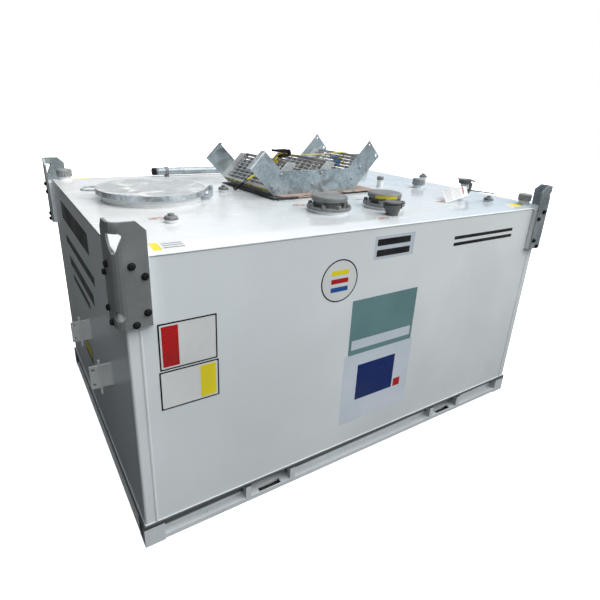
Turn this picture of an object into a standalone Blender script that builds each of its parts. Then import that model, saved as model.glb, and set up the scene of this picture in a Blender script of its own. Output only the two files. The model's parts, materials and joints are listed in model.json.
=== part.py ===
"""Bunded fuel tank on a fork-lift skid, with its hinged manway lid and its stair stowed on the roof.

Metres, +Z up, X along the tank, the front face towards -Y, origin on the ground under the middle.
"""
from math import cos, pi, radians, sin, sqrt

import bmesh
import bpy
from mathutils import Matrix, Vector

# Driving dimensions of the tank
TANK_LENGTH = 3.05
TANK_WIDTH = 2.17
TANK_HEIGHT = 1.60
CROWN = 0.014
CROWN_SLOPE = 0.115
SHEET = 0.005
FIT = 0.0003

# Skid
SKID_HEIGHT = 0.14
LEDGE = 0.012
FLOOR_PLATE = 0.010
FOOT_LENGTH = 0.108
RAIL_DEPTH = 0.055
RAIL_PLATE = 0.008
RAIL_LIFT = 0.010
FLANGE_TOP = 0.038
POCKET_SPACING = 1.56
POCKET_INSIDE = 0.27
POST_WIDTH = 0.035
SLOT_LENGTH = 0.15

# Shells
WRAP = 0.060
FOLD_RADIUS = 0.012
BUND_GAP = 0.080
PRIMARY_FLOOR = 0.215
PRIMARY_TOP = 1.520
BEARER_WIDTH = 0.060

# Manway
MANWAY = Vector((-1.0523, 0.0541, 0.0))
MANWAY_TURN = radians(-24)
NECK_RADIUS = 0.308
NECK_TOP = 1.6847
LID_RADIUS = 0.337
LID_TOP = 1.690
LID_PLATE = 0.005
SKIRT_DEPTH = 0.034
HINGE_REACH = 0.369
HINGE_HEIGHT = 1.690
PIN_RADIUS = 0.006
EYE_RADIUS = 0.017
EYE_THICKNESS = 0.016
EAR_RADIUS = 0.016
EAR_THICKNESS = 0.008
HINGE_GAP = 0.0055
HANDLE_REACH = 0.418
HANDLE_HALF = 0.065
HANDLE_HEIGHT = 1.668
HANDLE_RADIUS = 0.006
ROUND_SIDES = 48

# Corner brackets and their pads
PAD_THICKNESS = 0.028
PAD_LEG = 0.143
PAD_BOTTOM = 1.290
BRACKET_PLATE = 0.012
BRACKET_LEG = 0.149
BRACKET_FOLD = 0.048
BRACKET_BOTTOM = 1.295
BRACKET_TOP = 1.760
CORNER_CUT = 0.040
LIFTING_HOLE = ((0.0, 1.714), (0.027, 1.714), (0.035, 1.706), (0.034, 1.698), (0.0095, 1.6345), (0.005, 1.630))
FOLD_HOLE_RADIUS = 0.025
FOLD_HOLE_HEIGHT = 1.355

# Roof fittings, as places on the roof
VENTS = {"left": (-0.170, -0.673), "right": (0.268, -0.697)}
FILL_PLACE = (0.148, -0.906)
GAUGE_PLACE = (1.205, -0.596)
PLUG_PLACES = ((-1.150, -0.610, 1.632), (-0.520, 0.140, 1.632), (1.450, 0.066, 1.664), (1.220, -0.825, 1.627))
RISER_PLACES = {
    "tall": (0.839, -0.022, 1.670, 0.026, 0.029),
    "middle": (1.172, -0.146, 1.635, 0.044, 0.053),
    "right": (1.440, -0.980, 1.637, 0.040, 0.048),
    "left": (-1.440, 0.975, 1.635, 0.044, 0.053),
}

# Stair stowed on the roof
STAIR_PLACE = Vector((-0.295, -0.195, 1.630))
STAIR_TURN = radians(3.5)
STAIR_WIDTH = 0.660
STRINGER_PLATE = 0.006
STRINGER_DEPTH = 0.165
STRINGER_RUN = 0.745
LEFT_ARM = 0.265
RIGHT_ARM = 0.350
LEFT_ARM_DEPTH = 0.159
RIGHT_ARM_DEPTH = 0.167
LIP_WIDTH = 0.050
TREAD_PLACES = ((0.0, 0.0), (0.352, 0.0), (0.732, 0.025))
TREAD_FACE = 0.0099
TREAD_END = ((0.0, 0.0799), (0.2341, 0.0799), (0.2775, 0.0230), (0.2758, TREAD_FACE), (0.0, TREAD_FACE))
NOSING = 0.028
NOSING_DEPTH = 0.036
BAR_COUNT = 8
BAR_PITCH = 0.0305
BAR_DEPTH = 0.032
TOP_BAR = 0.270
STRAP_WIDTH = 0.026
STRAP_THICKNESS = 0.003

# Brackets for the stair on the left end wall
EAR_PLACES = {"front": -0.610, "back": 0.0}
EAR_REACH = 0.111
EAR_BOTTOM = 0.735
EAR_TOP = 0.872
EAR_PLATE = 0.010

# Vent pipe stowed on the roof
PIPE_LEFT = -0.791
PIPE_RIGHT = 0.420
PIPE_PLACE = 0.950
PIPE_HEIGHT = 1.655
PIPE_RADIUS = 0.030
CLAMP_PLACES = {"left": -0.672, "right": 0.300}

HALF_LENGTH = TANK_LENGTH / 2
HALF_WIDTH = TANK_WIDTH / 2
SKID_LEFT = -HALF_LENGTH - LEDGE
SKID_RIGHT = HALF_LENGTH
SKID_HALF_WIDTH = HALF_WIDTH + LEDGE
RAIL_TOP = SKID_HEIGHT - FLOOR_PLATE - FIT
WALL_FOOT = SKID_HEIGHT + FIT
ROOF = TANK_HEIGHT + CROWN + FIT
BRACKET_STAND = PAD_THICKNESS + FIT + BRACKET_PLATE
ORIGIN_SHIFT = (EAR_REACH - BRACKET_STAND) / 2


def clear_scene():
    """Removes whatever the file holds."""
    for item in list(bpy.data.objects):
        bpy.data.objects.remove(item, do_unlink=True)


def set_origin():
    """Carries every piece on an empty that puts the middle of the overall length on the origin."""
    middle = bpy.data.objects.new("tank", None)
    middle.location = (ORIGIN_SHIFT, 0, 0)
    pieces = bpy.context.scene.collection.objects[:]
    bpy.context.scene.collection.objects.link(middle)
    for item in pieces:
        item.parent = middle


def finish(name, colour, roughness, metallic):
    """A Principled material of one colour."""
    material = bpy.data.materials.new(name)
    material.use_nodes = True
    shader = material.node_tree.nodes["Principled BSDF"]
    shader.inputs["Base Color"].default_value = (*colour, 1.0)
    shader.inputs["Roughness"].default_value = roughness
    shader.inputs["Metallic"].default_value = metallic
    return material


def add_node(name, shape, material, matrix=Matrix.Identity(4), smooth=False):
    """Turns a bmesh into a named object with its faces pointing out."""
    bmesh.ops.recalc_face_normals(shape, faces=shape.faces[:])
    mesh = bpy.data.meshes.new(name)
    shape.to_mesh(mesh)
    shape.free()
    mesh.materials.append(material)
    if smooth:
        mesh.shade_smooth()
        mesh.set_sharp_from_angle(angle=radians(40))
    item = bpy.data.objects.new(name, mesh)
    item.matrix_world = matrix
    bpy.context.scene.collection.objects.link(item)
    return item


def blocks(solid, cut=()):
    """One closed body from boxes (x0, x1, y0, y1, z0, z1) that overlap or meet, less the cut boxes."""
    every = [*solid, *cut]
    lines = [sorted({round(box[2 * axis + end], 6) for box in every for end in (0, 1)}) for axis in range(3)]

    def holds(box, centre):
        return all(box[2 * axis] < centre[axis] < box[2 * axis + 1] for axis in range(3))

    filled = set()
    for i in range(len(lines[0]) - 1):
        for j in range(len(lines[1]) - 1):
            for k in range(len(lines[2]) - 1):
                cell = (i, j, k)
                centre = [(lines[axis][cell[axis]] + lines[axis][cell[axis] + 1]) / 2 for axis in range(3)]
                if any(holds(box, centre) for box in solid) and not any(holds(box, centre) for box in cut):
                    filled.add(cell)
    shape = bmesh.new()
    corners = {}

    def corner(index):
        if index not in corners:
            corners[index] = shape.verts.new([lines[axis][index[axis]] for axis in range(3)])
        return corners[index]

    for cell in sorted(filled):
        for axis in range(3):
            for side in (0, 1):
                neighbour = list(cell)
                neighbour[axis] += 2 * side - 1
                if tuple(neighbour) in filled:
                    continue
                across, along = (axis + 1) % 3, (axis + 2) % 3
                ring = []
                for step_a, step_b in ((0, 0), (1, 0), (1, 1), (0, 1)):
                    index = list(cell)
                    index[axis] += side
                    index[across] += step_a
                    index[along] += step_b
                    ring.append(corner(tuple(index)))
                shape.faces.new(ring)
    return shape


def plate(outline, low, high, holes=()):
    """A flat plate in XY from low to high, with its holes given as loops of points."""
    shape = bmesh.new()
    edges = []
    for loop in (outline, *holes):
        ring = [shape.verts.new((x, y, low)) for x, y in loop]
        edges += [shape.edges.new((a, b)) for a, b in zip(ring, ring[1:] + ring[:1])]
    bmesh.ops.triangle_fill(shape, edges=edges, use_beauty=True)
    grown = bmesh.ops.extrude_face_region(shape, geom=shape.faces[:])
    lifted = [item for item in grown["geom"] if isinstance(item, bmesh.types.BMVert)]
    bmesh.ops.translate(shape, verts=lifted, vec=(0, 0, high - low))
    return shape


def circle(radius, sides=24, centre=(0.0, 0.0), turn=0.0):
    """Points round a circle."""
    steps = [turn + 2 * pi * step / sides for step in range(sides)]
    return [(centre[0] + radius * cos(angle), centre[1] + radius * sin(angle)) for angle in steps]


def arc(centre, radius, start, end, steps):
    """Points along an arc from start to end, both in degrees."""
    angles = [radians(start + (end - start) * step / steps) for step in range(steps + 1)]
    return [(centre[0] + radius * cos(angle), centre[1] + radius * sin(angle)) for angle in angles]


def turned(profile, sides=ROUND_SIDES, turn=0.0):
    """A body turned about Z from a closed profile of (radius, height)."""
    shape = bmesh.new()
    rings = []
    for radius, height in profile:
        if radius == 0:
            rings.append([shape.verts.new((0, 0, height))])
        else:
            rings.append([shape.verts.new((x, y, height)) for x, y in circle(radius, sides, turn=turn)])
    for lower, upper in zip(rings, rings[1:] + rings[:1]):
        if len(lower) == 1 and len(upper) == 1:
            continue
        for step in range(sides):
            after = (step + 1) % sides
            ring = [lower[step % len(lower)], lower[after % len(lower)], upper[after % len(upper)], upper[step % len(upper)]]
            shape.faces.new(dict.fromkeys(ring))
    return shape


def combine(first, second, operation):
    """The Boolean of two closed shapes, as a new shape."""
    items = []
    for shape in (first, second):
        bmesh.ops.recalc_face_normals(shape, faces=shape.faces[:])
        mesh = bpy.data.meshes.new("tool")
        shape.to_mesh(mesh)
        shape.free()
        items.append(bpy.data.objects.new("tool", mesh))
        bpy.context.scene.collection.objects.link(items[-1])
    boolean = items[0].modifiers.new("boolean", "BOOLEAN")
    boolean.operation = operation
    boolean.solver = "EXACT"
    boolean.object = items[1]
    graph = bpy.context.evaluated_depsgraph_get()
    result = bmesh.new()
    result.from_mesh(items[0].evaluated_get(graph).to_mesh())
    for item in items:
        bpy.data.objects.remove(item, do_unlink=True)
    return result


def rod(name, points, radius, material, matrix=Matrix.Identity(4), sides=3):
    """A round bar along points, with closed ends."""
    curve = bpy.data.curves.new(name, "CURVE")
    curve.dimensions = "3D"
    curve.bevel_depth = radius
    curve.bevel_resolution = sides
    curve.use_fill_caps = True
    spline = curve.splines.new("POLY")
    spline.points.add(len(points) - 1)
    for target, point in zip(spline.points, points):
        target.co = (*point, 1.0)
    curve.materials.append(material)
    item = bpy.data.objects.new(name, curve)
    item.matrix_world = matrix
    bpy.context.scene.collection.objects.link(item)
    return item


def on_its_side(shape):
    """Turns a plate drawn in XY so that its Y becomes Z and its thickness runs along -Y."""
    bmesh.ops.transform(shape, verts=shape.verts[:], matrix=Matrix.Rotation(pi / 2, 4, "X"))
    return shape


def pocket_centres():
    """Places of the two fork pockets along X."""
    return {"left": -POCKET_SPACING / 2, "right": POCKET_SPACING / 2}


def skid_rail(name, side, paint):
    """Long rail: an outward channel with feet at its ends and posts beside the fork pockets."""
    face = side * SKID_HALF_WIDTH
    web_face = face - side * RAIL_DEPTH
    web_back = web_face - side * RAIL_PLATE
    foot_back = face - side * FOOT_LENGTH
    lip_back = face - side * RAIL_PLATE

    def span(a, b):
        return min(a, b), max(a, b)

    length = (SKID_LEFT, SKID_RIGHT)
    solid = [
        (*length, *span(web_face, web_back), RAIL_LIFT, RAIL_TOP),
        (*length, *span(face, web_back), FLANGE_TOP - RAIL_PLATE, FLANGE_TOP),
        (*length, *span(face, lip_back), RAIL_LIFT, FLANGE_TOP),
    ]
    for end, outer in ((-1, SKID_LEFT), (1, SKID_RIGHT)):
        solid.append((*span(outer, outer - end * FOOT_LENGTH), *span(face, foot_back), 0.0, RAIL_TOP))
    cut = []
    tunnel_half = POCKET_INSIDE / 2 + RAIL_PLATE + FIT
    for centre in pocket_centres().values():
        for end in (-1, 1):
            inner = centre + end * POCKET_INSIDE / 2
            solid.append((*span(inner, inner + end * POST_WIDTH), *span(face, web_back), RAIL_LIFT, RAIL_TOP))
        cut.append(
            (
                centre - tunnel_half,
                centre + tunnel_half,
                *span(web_face, web_back - side * FIT),
                FLANGE_TOP - RAIL_PLATE - FIT,
                SKID_HEIGHT,
            )
        )
        cut.append(
            (
                centre - SLOT_LENGTH / 2,
                centre + SLOT_LENGTH / 2,
                *span(lip_back, web_face + side * RAIL_PLATE),
                0.0,
                SKID_HEIGHT,
            )
        )
    add_node(name, blocks(solid, cut), paint)


def skid_end(name, side, paint):
    """Short rail between the feet at one end of the skid."""
    face = SKID_LEFT if side < 0 else SKID_RIGHT
    web = face - side * RAIL_DEPTH / 2
    reach = SKID_HALF_WIDTH - FOOT_LENGTH - FIT
    solid = [
        (min(web, web - side * RAIL_PLATE), max(web, web - side * RAIL_PLATE), -reach, reach, RAIL_LIFT, RAIL_TOP),
        (min(face, web), max(face, web), -reach, reach, FLANGE_TOP - RAIL_PLATE, FLANGE_TOP),
        (min(face, face - side * RAIL_PLATE), max(face, face - side * RAIL_PLATE), -reach, reach, RAIL_LIFT, FLANGE_TOP),
    ]
    add_node(name, blocks(solid), paint)


def fork_pocket(name, centre, paint):
    """Tunnel for a fork tine, from the front rail's web to the back rail's."""
    half = POCKET_INSIDE / 2
    reach = SKID_HALF_WIDTH - RAIL_DEPTH - FIT
    floor = FLANGE_TOP - RAIL_PLATE
    outside = (centre - half - RAIL_PLATE, centre + half + RAIL_PLATE, -reach, reach, floor, RAIL_TOP)
    inside = (centre - half, centre + half, -reach, reach, FLANGE_TOP, RAIL_TOP - RAIL_PLATE)
    add_node(name, blocks([outside], [inside]), paint)


def floor_plate(paint):
    """Plate on the skid whose edge shows as a ledge round the tank."""
    body = (SKID_LEFT, SKID_RIGHT, -SKID_HALF_WIDTH, SKID_HALF_WIDTH, SKID_HEIGHT - FLOOR_PLATE, SKID_HEIGHT)
    add_node("floor_plate", blocks([body]), paint)


def crown(place):
    """Height of the crowned roof over its front and back edges, at a place across the tank."""
    return CROWN * min(1.0, max(0.0, (HALF_WIDTH - abs(place)) / CROWN_SLOPE))


def end_wall(name, side, paint):
    """End sheet, folded round both corners on to the long sides, with its top following the roof."""
    top = TANK_HEIGHT - SHEET - FIT
    inner_radius = FOLD_RADIUS - SHEET
    centre = (HALF_LENGTH - FOLD_RADIUS, HALF_WIDTH - FOLD_RADIUS)
    outer = arc(centre, FOLD_RADIUS, 0, 90, 4)
    inner = arc(centre, inner_radius, 90, 0, 4)
    edge = HALF_LENGTH - WRAP
    bend = HALF_WIDTH - CROWN_SLOPE
    half = [(HALF_LENGTH, bend), *outer, (edge, HALF_WIDTH), (edge, HALF_WIDTH - SHEET), *inner, (HALF_LENGTH - SHEET, bend)]
    mirrored = [(x, -y) for x, y in reversed(half)]
    outline = [*half, *mirrored]
    shape = plate([(side * x, y) for x, y in outline], WALL_FOOT, top)
    for vert in shape.verts:
        if vert.co.z > WALL_FOOT + SHEET:
            vert.co.z += crown(vert.co.y)
    add_node(name, shape, paint, smooth=True)


def long_wall(name, side, paint):
    """Front or back sheet between the folded edges of the end walls."""
    reach = HALF_LENGTH - WRAP - FIT
    low, high = sorted((side * HALF_WIDTH, side * (HALF_WIDTH - SHEET)))
    add_node(name, blocks([(-reach, reach, low, high, WALL_FOOT, TANK_HEIGHT - SHEET - FIT)]), paint)


def manway_matrix():
    """Frame of the manway: X towards its hinge, Y along the hinge axis."""
    return Matrix.Translation(MANWAY) @ Matrix.Rotation(MANWAY_TURN, 4, "Z")


def roof_plate(paint):
    """Crowned roof sheet with the hole that the manway neck passes through."""
    bends = [-HALF_WIDTH, CROWN_SLOPE - HALF_WIDTH, HALF_WIDTH - CROWN_SLOPE, HALF_WIDTH]
    upper = [(y, TANK_HEIGHT + crown(y)) for y in bends]
    outline = [*upper, *((y, z - SHEET) for y, z in reversed(upper))]
    sheet = plate(outline, -HALF_LENGTH, HALF_LENGTH)
    along = Matrix(((0, 0, 1, 0), (1, 0, 0, 0), (0, 1, 0, 0), (0, 0, 0, 1)))
    bmesh.ops.transform(sheet, verts=sheet.verts[:], matrix=along)
    hole = circle(NECK_RADIUS + FIT, ROUND_SIDES, MANWAY.xy, MANWAY_TURN + pi / ROUND_SIDES)
    cutter = plate(hole, TANK_HEIGHT - 0.02, TANK_HEIGHT + 0.04)
    add_node("roof_plate", combine(sheet, cutter, "DIFFERENCE"), paint)


def primary_tank(steel):
    """Inner tank: floor on bearers, four walls and a roof with the manhole."""
    half_x = HALF_LENGTH - BUND_GAP
    half_y = HALF_WIDTH - BUND_GAP
    floor = [(-half_x, half_x, -half_y, half_y, PRIMARY_FLOOR, PRIMARY_FLOOR + SHEET)]
    for place in (-0.7, 0.0, 0.7):
        low, high = place - BEARER_WIDTH / 2, place + BEARER_WIDTH / 2
        floor.append((-half_x, half_x, low, high, WALL_FOOT, PRIMARY_FLOOR))
    add_node("primary_floor", blocks(floor), steel)
    foot = PRIMARY_FLOOR + SHEET + FIT
    top = PRIMARY_TOP - SHEET - FIT
    for name, side in (("primary_front", -1), ("primary_back", 1)):
        low, high = sorted((side * half_y, side * (half_y - SHEET)))
        add_node(name, blocks([(-half_x, half_x, low, high, foot, top)]), steel)
    reach = half_y - SHEET - FIT
    for name, side in (("primary_left_end", -1), ("primary_right_end", 1)):
        low, high = sorted((side * half_x, side * (half_x - SHEET)))
        add_node(name, blocks([(low, high, -reach, reach, foot, top)]), steel)
    outline = [(-half_x, -half_y), (half_x, -half_y), (half_x, half_y), (-half_x, half_y)]
    hole = circle(NECK_RADIUS - SHEET, ROUND_SIDES, MANWAY.xy, MANWAY_TURN + pi / ROUND_SIDES)
    add_node("primary_roof", plate(outline, PRIMARY_TOP - SHEET, PRIMARY_TOP, [hole]), steel)


def manway_neck(paint):
    """Round neck that stands on the inner tank and carries the lid."""
    inner = NECK_RADIUS - SHEET
    foot = PRIMARY_TOP + FIT
    profile = [(inner, foot), (NECK_RADIUS, foot), (NECK_RADIUS, NECK_TOP), (inner, NECK_TOP)]
    add_node("manway_neck", turned(profile, turn=pi / ROUND_SIDES), paint, manway_matrix(), smooth=True)


def manway_lid(zinc):
    """Lid: a disc with a skirt, its eye on the hinge side and a bar loop to lift it by."""
    under = LID_TOP - LID_PLATE
    skirt_inside = LID_RADIUS - 0.0038
    skirt_foot = LID_TOP - SKIRT_DEPTH
    profile = [
        (0, under),
        (skirt_inside, under),
        (skirt_inside, skirt_foot),
        (LID_RADIUS, skirt_foot),
        (LID_RADIUS, LID_TOP - 0.003),
        (LID_RADIUS - 0.003, LID_TOP),
        (0, LID_TOP),
    ]
    frame = manway_matrix() @ Matrix.Translation((HINGE_REACH, 0, HINGE_HEIGHT))
    to_hinge = Matrix.Translation((-HINGE_REACH, 0, -HINGE_HEIGHT))
    shape = turned(profile, turn=pi / ROUND_SIDES)
    bmesh.ops.transform(shape, verts=shape.verts[:], matrix=to_hinge)
    add_node("manway_lid", shape, zinc, frame, smooth=True)

    flat = LID_RADIUS * cos(pi / ROUND_SIDES) + FIT - HINGE_REACH
    outline = [(flat, -0.026), (flat, -0.004), *arc((0, 0), EYE_RADIUS, 125, -125, 12)]
    eye = on_its_side(plate(outline, -EYE_THICKNESS / 2, EYE_THICKNESS / 2, [circle(PIN_RADIUS + 0.0012, 16)]))
    add_node("lid_hinge_eye", eye, zinc, frame, smooth=True)

    inner_edge = HANDLE_HALF - HANDLE_RADIUS
    start = -sqrt((LID_RADIUS + 2 * FIT) ** 2 - inner_edge**2) - HINGE_REACH
    reach = -HANDLE_REACH - HINGE_REACH
    bend = 0.025
    corner = arc((reach + bend, HANDLE_HALF - bend), bend, 90, 180, 5)
    path = [(start, HANDLE_HALF), *corner]
    level = HANDLE_HEIGHT - HINGE_HEIGHT
    points = [(x, y, level) for x, y in path] + [(x, -y, level) for x, y in reversed(path)]
    rod("lid_handle", points, HANDLE_RADIUS, zinc, frame)


def hinge_ears(paint):
    """Two ears on the neck with the hinge pin through them."""
    frame = manway_matrix() @ Matrix.Translation((HINGE_REACH, 0, HINGE_HEIGHT))
    neck = NECK_RADIUS * cos(pi / ROUND_SIDES) + FIT - HINGE_REACH
    outline = [
        (neck, -0.070),
        (-0.010, -0.070),
        (EAR_RADIUS, -0.050),
        *arc((0, 0), EAR_RADIUS, 0, 180, 8),
        (-EAR_RADIUS, -0.044),
        (neck, -0.044),
    ]
    inside = EYE_THICKNESS / 2 + HINGE_GAP
    outside = inside + EAR_THICKNESS
    pin_length = 2 * (outside + 0.006)
    pin = turned([(0, -pin_length / 2), (PIN_RADIUS, -pin_length / 2), (PIN_RADIUS, pin_length / 2), (0, pin_length / 2)], 16)
    shape = combine(plate(outline, inside, outside), pin, "UNION")
    shape = combine(shape, plate(outline, -outside, -inside), "UNION")
    add_node("hinge_ears", on_its_side(shape), paint, frame, smooth=True)


def angle_outline(outer, thickness, leg, fold):
    """Plan of an angle round the corner at (+X, +Y), its outer faces at x = y = outer from the tank's faces."""
    x, y = HALF_LENGTH + outer, HALF_WIDTH + outer
    rim = arc((x - fold, y - fold), fold, 0, 90, 5)
    back = arc((x - fold, y - fold), fold - thickness, 90, 0, 5)
    return [(x, y - leg), *rim, (x - leg, y), (x - leg, y - thickness), *back, (x - thickness, y - leg)]


def corner_angles(paint, zinc):
    """Four corner brackets for lifting and stacking, each on a pad welded to the tank."""
    pad = angle_outline(PAD_THICKNESS, PAD_THICKNESS - FIT, PAD_LEG, BRACKET_FOLD - BRACKET_PLATE)
    pad_shape = plate(pad, PAD_BOTTOM, TANK_HEIGHT - SHEET - FIT)
    outline = angle_outline(BRACKET_STAND, BRACKET_PLATE, BRACKET_LEG, BRACKET_FOLD)
    bracket = plate(outline, BRACKET_BOTTOM, BRACKET_TOP)
    x, y = HALF_LENGTH + BRACKET_STAND, HALF_WIDTH + BRACKET_STAND
    inset = BRACKET_FOLD * (1 - 1 / sqrt(2))

    hole = [*LIFTING_HOLE, *((-across, height) for across, height in reversed(LIFTING_HOLE[1:]))]
    lifting = on_its_side(plate(hole, -0.06, 0.06))
    through = Matrix.Translation((x - inset, y - inset, 0)) @ Matrix.Rotation(radians(-45), 4, "Z")
    bmesh.ops.transform(lifting, verts=lifting.verts[:], matrix=through)
    bracket = combine(bracket, lifting, "DIFFERENCE")
    drill = turned([(0, -0.06), (FOLD_HOLE_RADIUS, -0.06), (FOLD_HOLE_RADIUS, 0.06), (0, 0.06)], 16)
    aim = Matrix.Rotation(radians(45), 4, "Z") @ Matrix.Rotation(pi / 2, 4, "Y")
    middle = Matrix.Translation((x - inset, y - inset, FOLD_HOLE_HEIGHT))
    bmesh.ops.transform(drill, verts=drill.verts[:], matrix=middle @ aim)
    bracket = combine(bracket, drill, "DIFFERENCE")

    margin = 0.02
    swap = Matrix(((0, 1, 0, 0), (1, 0, 0, 0), (0, 0, 1, 0), (0, 0, 0, 1)))
    for leg_end, face, turn in ((x - BRACKET_LEG, y, Matrix.Identity(4)), (y - BRACKET_LEG, x, swap)):
        wedge = [
            (leg_end - margin, BRACKET_TOP + margin),
            (leg_end - margin, BRACKET_TOP - CORNER_CUT - margin),
            (leg_end + CORNER_CUT + margin, BRACKET_TOP + margin),
        ]
        chamfer = on_its_side(plate(wedge, -face - margin, margin - face))
        bmesh.ops.transform(chamfer, verts=chamfer.verts[:], matrix=turn)
        bracket = combine(bracket, chamfer, "DIFFERENCE")

    for end, side_x in (("left", -1), ("right", 1)):
        for face, side_y in (("front", -1), ("back", 1)):
            mirror = Matrix.Diagonal((side_x, side_y, 1, 1))
            for kind, source, material in (("bracket_pad", pad_shape, paint), ("corner_bracket", bracket, zinc)):
                copy = source.copy()
                bmesh.ops.transform(copy, verts=copy.verts[:], matrix=mirror)
                add_node(f"{kind}_{face}_{end}", copy, material, smooth=True)
    pad_shape.free()
    bracket.free()


def emergency_vents(paint, iron):
    """Two large relief vents, each a capped flange bolted on a white collar."""
    collar_top = 1.636
    collar = [(0, ROOF), (0.130, ROOF), (0.128, collar_top), (0, collar_top)]
    cap = [
        (0, collar_top + FIT),
        (0.140, collar_top + FIT),
        (0.140, 1.645),
        (0.092, 1.647),
        (0.088, 1.682),
        (0.110, 1.685),
        (0.113, 1.690),
        (0.113, 1.704),
        (0.102, 1.714),
        (0, 1.717),
    ]
    for end, (x, y) in VENTS.items():
        place = Matrix.Translation((x, y, 0))
        add_node(f"vent_collar_{end}", turned(collar, 32), paint, place, smooth=True)
        add_node(f"emergency_vent_{end}", turned(cap, 32), iron, place, smooth=True)


def fill_and_gauge(iron):
    """Fill coupling at the front edge and the level gauge near the right end."""
    fill = [(0, ROOF), (0.038, ROOF), (0.044, 1.628), (0.046, 1.684), (0.050, 1.686), (0.050, 1.696), (0, 1.698)]
    gauge = [
        (0, ROOF),
        (0.030, ROOF),
        (0.030, 1.690),
        (0.040, 1.694),
        (0.046, 1.712),
        (0.064, 1.716),
        (0.066, 1.742),
        (0.056, 1.748),
        (0, 1.748),
    ]
    add_node("fill_fitting", turned(fill, 24), iron, Matrix.Translation((*FILL_PLACE, 0)), smooth=True)
    add_node("level_gauge", turned(gauge, 24), iron, Matrix.Translation((*GAUGE_PLACE, 0)), smooth=True)


def plugs_and_risers(iron):
    """Plugged sockets and capped risers of the roof."""
    for number, (x, y, top) in enumerate(PLUG_PLACES, 1):
        plug = [
            (0, ROOF),
            (0.036, ROOF),
            (0.034, top),
            (0.032, top + 0.001),
            (0.032, top + 0.010),
            (0.022, top + 0.021),
            (0.016, top + 0.023),
            (0.015, top + 0.034),
            (0, top + 0.034),
        ]
        add_node(f"socket_plug_{number}", turned(plug, 16), iron, Matrix.Translation((x, y, 0)), smooth=True)
    for name, (x, y, top, pipe, cap) in RISER_PLACES.items():
        cap_top = top + cap
        profile = [
            (0, ROOF),
            (pipe, ROOF),
            (pipe, top),
            (cap, top + 0.002),
            (cap, cap_top - 0.006),
            (cap - 0.006, cap_top),
            (0, cap_top + 0.002),
        ]
        add_node(f"riser_cap_{name}", turned(profile, 20), iron, Matrix.Translation((x, y, 0)), smooth=True)


def stair_brackets(paint):
    """Two ears on the left end wall that the stair hangs on, each with its rod."""
    for name, place in EAR_PLACES.items():
        wall = -HALF_LENGTH - FIT
        tip = -HALF_LENGTH - EAR_REACH
        outline = [(tip, EAR_BOTTOM), (wall, EAR_BOTTOM), (wall, EAR_TOP), (tip, EAR_TOP)]
        holes = [circle(0.009, 12, (tip + 0.018, height)) for height in (EAR_BOTTOM + 0.024, EAR_TOP - 0.024)]
        ear = plate(outline, -EAR_PLATE / 2, EAR_PLATE / 2, holes)
        ear = on_its_side(ear)
        bar_x = tip + 0.050
        half = 0.005
        bar = blocks([(bar_x - half, bar_x + half, -EAR_PLATE / 2 - 2 * half, -EAR_PLATE / 2 + half, 0.700, 0.905)])
        add_node(f"stair_bracket_{name}", combine(ear, bar, "UNION"), paint, Matrix.Translation((0, place, 0)))


def stair_frame():
    """Frame of the stowed stair: X along the stringers, Y across them, Z up from the board it rests on."""
    return Matrix.Translation(STAIR_PLACE) @ Matrix.Rotation(STAIR_TURN, 4, "Z")


def stringer_outline():
    """Side plate of the stair: a level middle with one arm up at each end, all at 45 degrees."""
    slope = 1 / sqrt(2)
    left = Vector((-LEFT_ARM * slope, LEFT_ARM * slope))
    left_top = left + Vector((LEFT_ARM_DEPTH * slope, LEFT_ARM_DEPTH * slope))
    right = Vector((STRINGER_RUN + RIGHT_ARM * slope, RIGHT_ARM * slope))
    right_top = right + Vector((-RIGHT_ARM_DEPTH * slope, RIGHT_ARM_DEPTH * slope))
    inner_left = (left_top.x + left_top.y - STRINGER_DEPTH, STRINGER_DEPTH)
    inner_right = (right_top.x - right_top.y + STRINGER_DEPTH, STRINGER_DEPTH)
    return [(0, 0), (STRINGER_RUN, 0), right, right_top, inner_right, inner_left, left_top, left]


def stair(zinc):
    """Stringers with a folded lip at the foot, and three bar grating treads between them."""
    frame = stair_frame()
    slope = 1 / sqrt(2)
    outline = [tuple(point) for point in stringer_outline()]
    for name, near in (("front", True), ("back", False)):
        low, high = (-STRINGER_PLATE, 0.0) if near else (-STAIR_WIDTH, STRINGER_PLATE - STAIR_WIDTH)
        side = on_its_side(plate(outline, low, high))
        lip_start = 0.0 if near else STAIR_WIDTH - LIP_WIDTH
        lip = blocks([(0.0, STRINGER_PLATE, lip_start, lip_start + LIP_WIDTH, 0.0, LEFT_ARM_DEPTH)])
        turn = Matrix.Translation((-LEFT_ARM * slope, 0, LEFT_ARM * slope)) @ Matrix.Rotation(radians(45), 4, "Y")
        bmesh.ops.transform(lip, verts=lip.verts[:], matrix=turn)
        add_node(f"stair_stringer_{name}", combine(side, lip, "UNION"), zinc, frame)
    grating = tread(STAIR_WIDTH - 2 * (STRINGER_PLATE + FIT))
    for number, (along, height) in enumerate(TREAD_PLACES, 1):
        place = Matrix.Translation((along, STAIR_WIDTH / 2, height)) @ Matrix.Rotation(radians(-45), 4, "Y")
        add_node(f"stair_tread_{number}", grating.copy(), zinc, frame @ place)
    grating.free()


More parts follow.
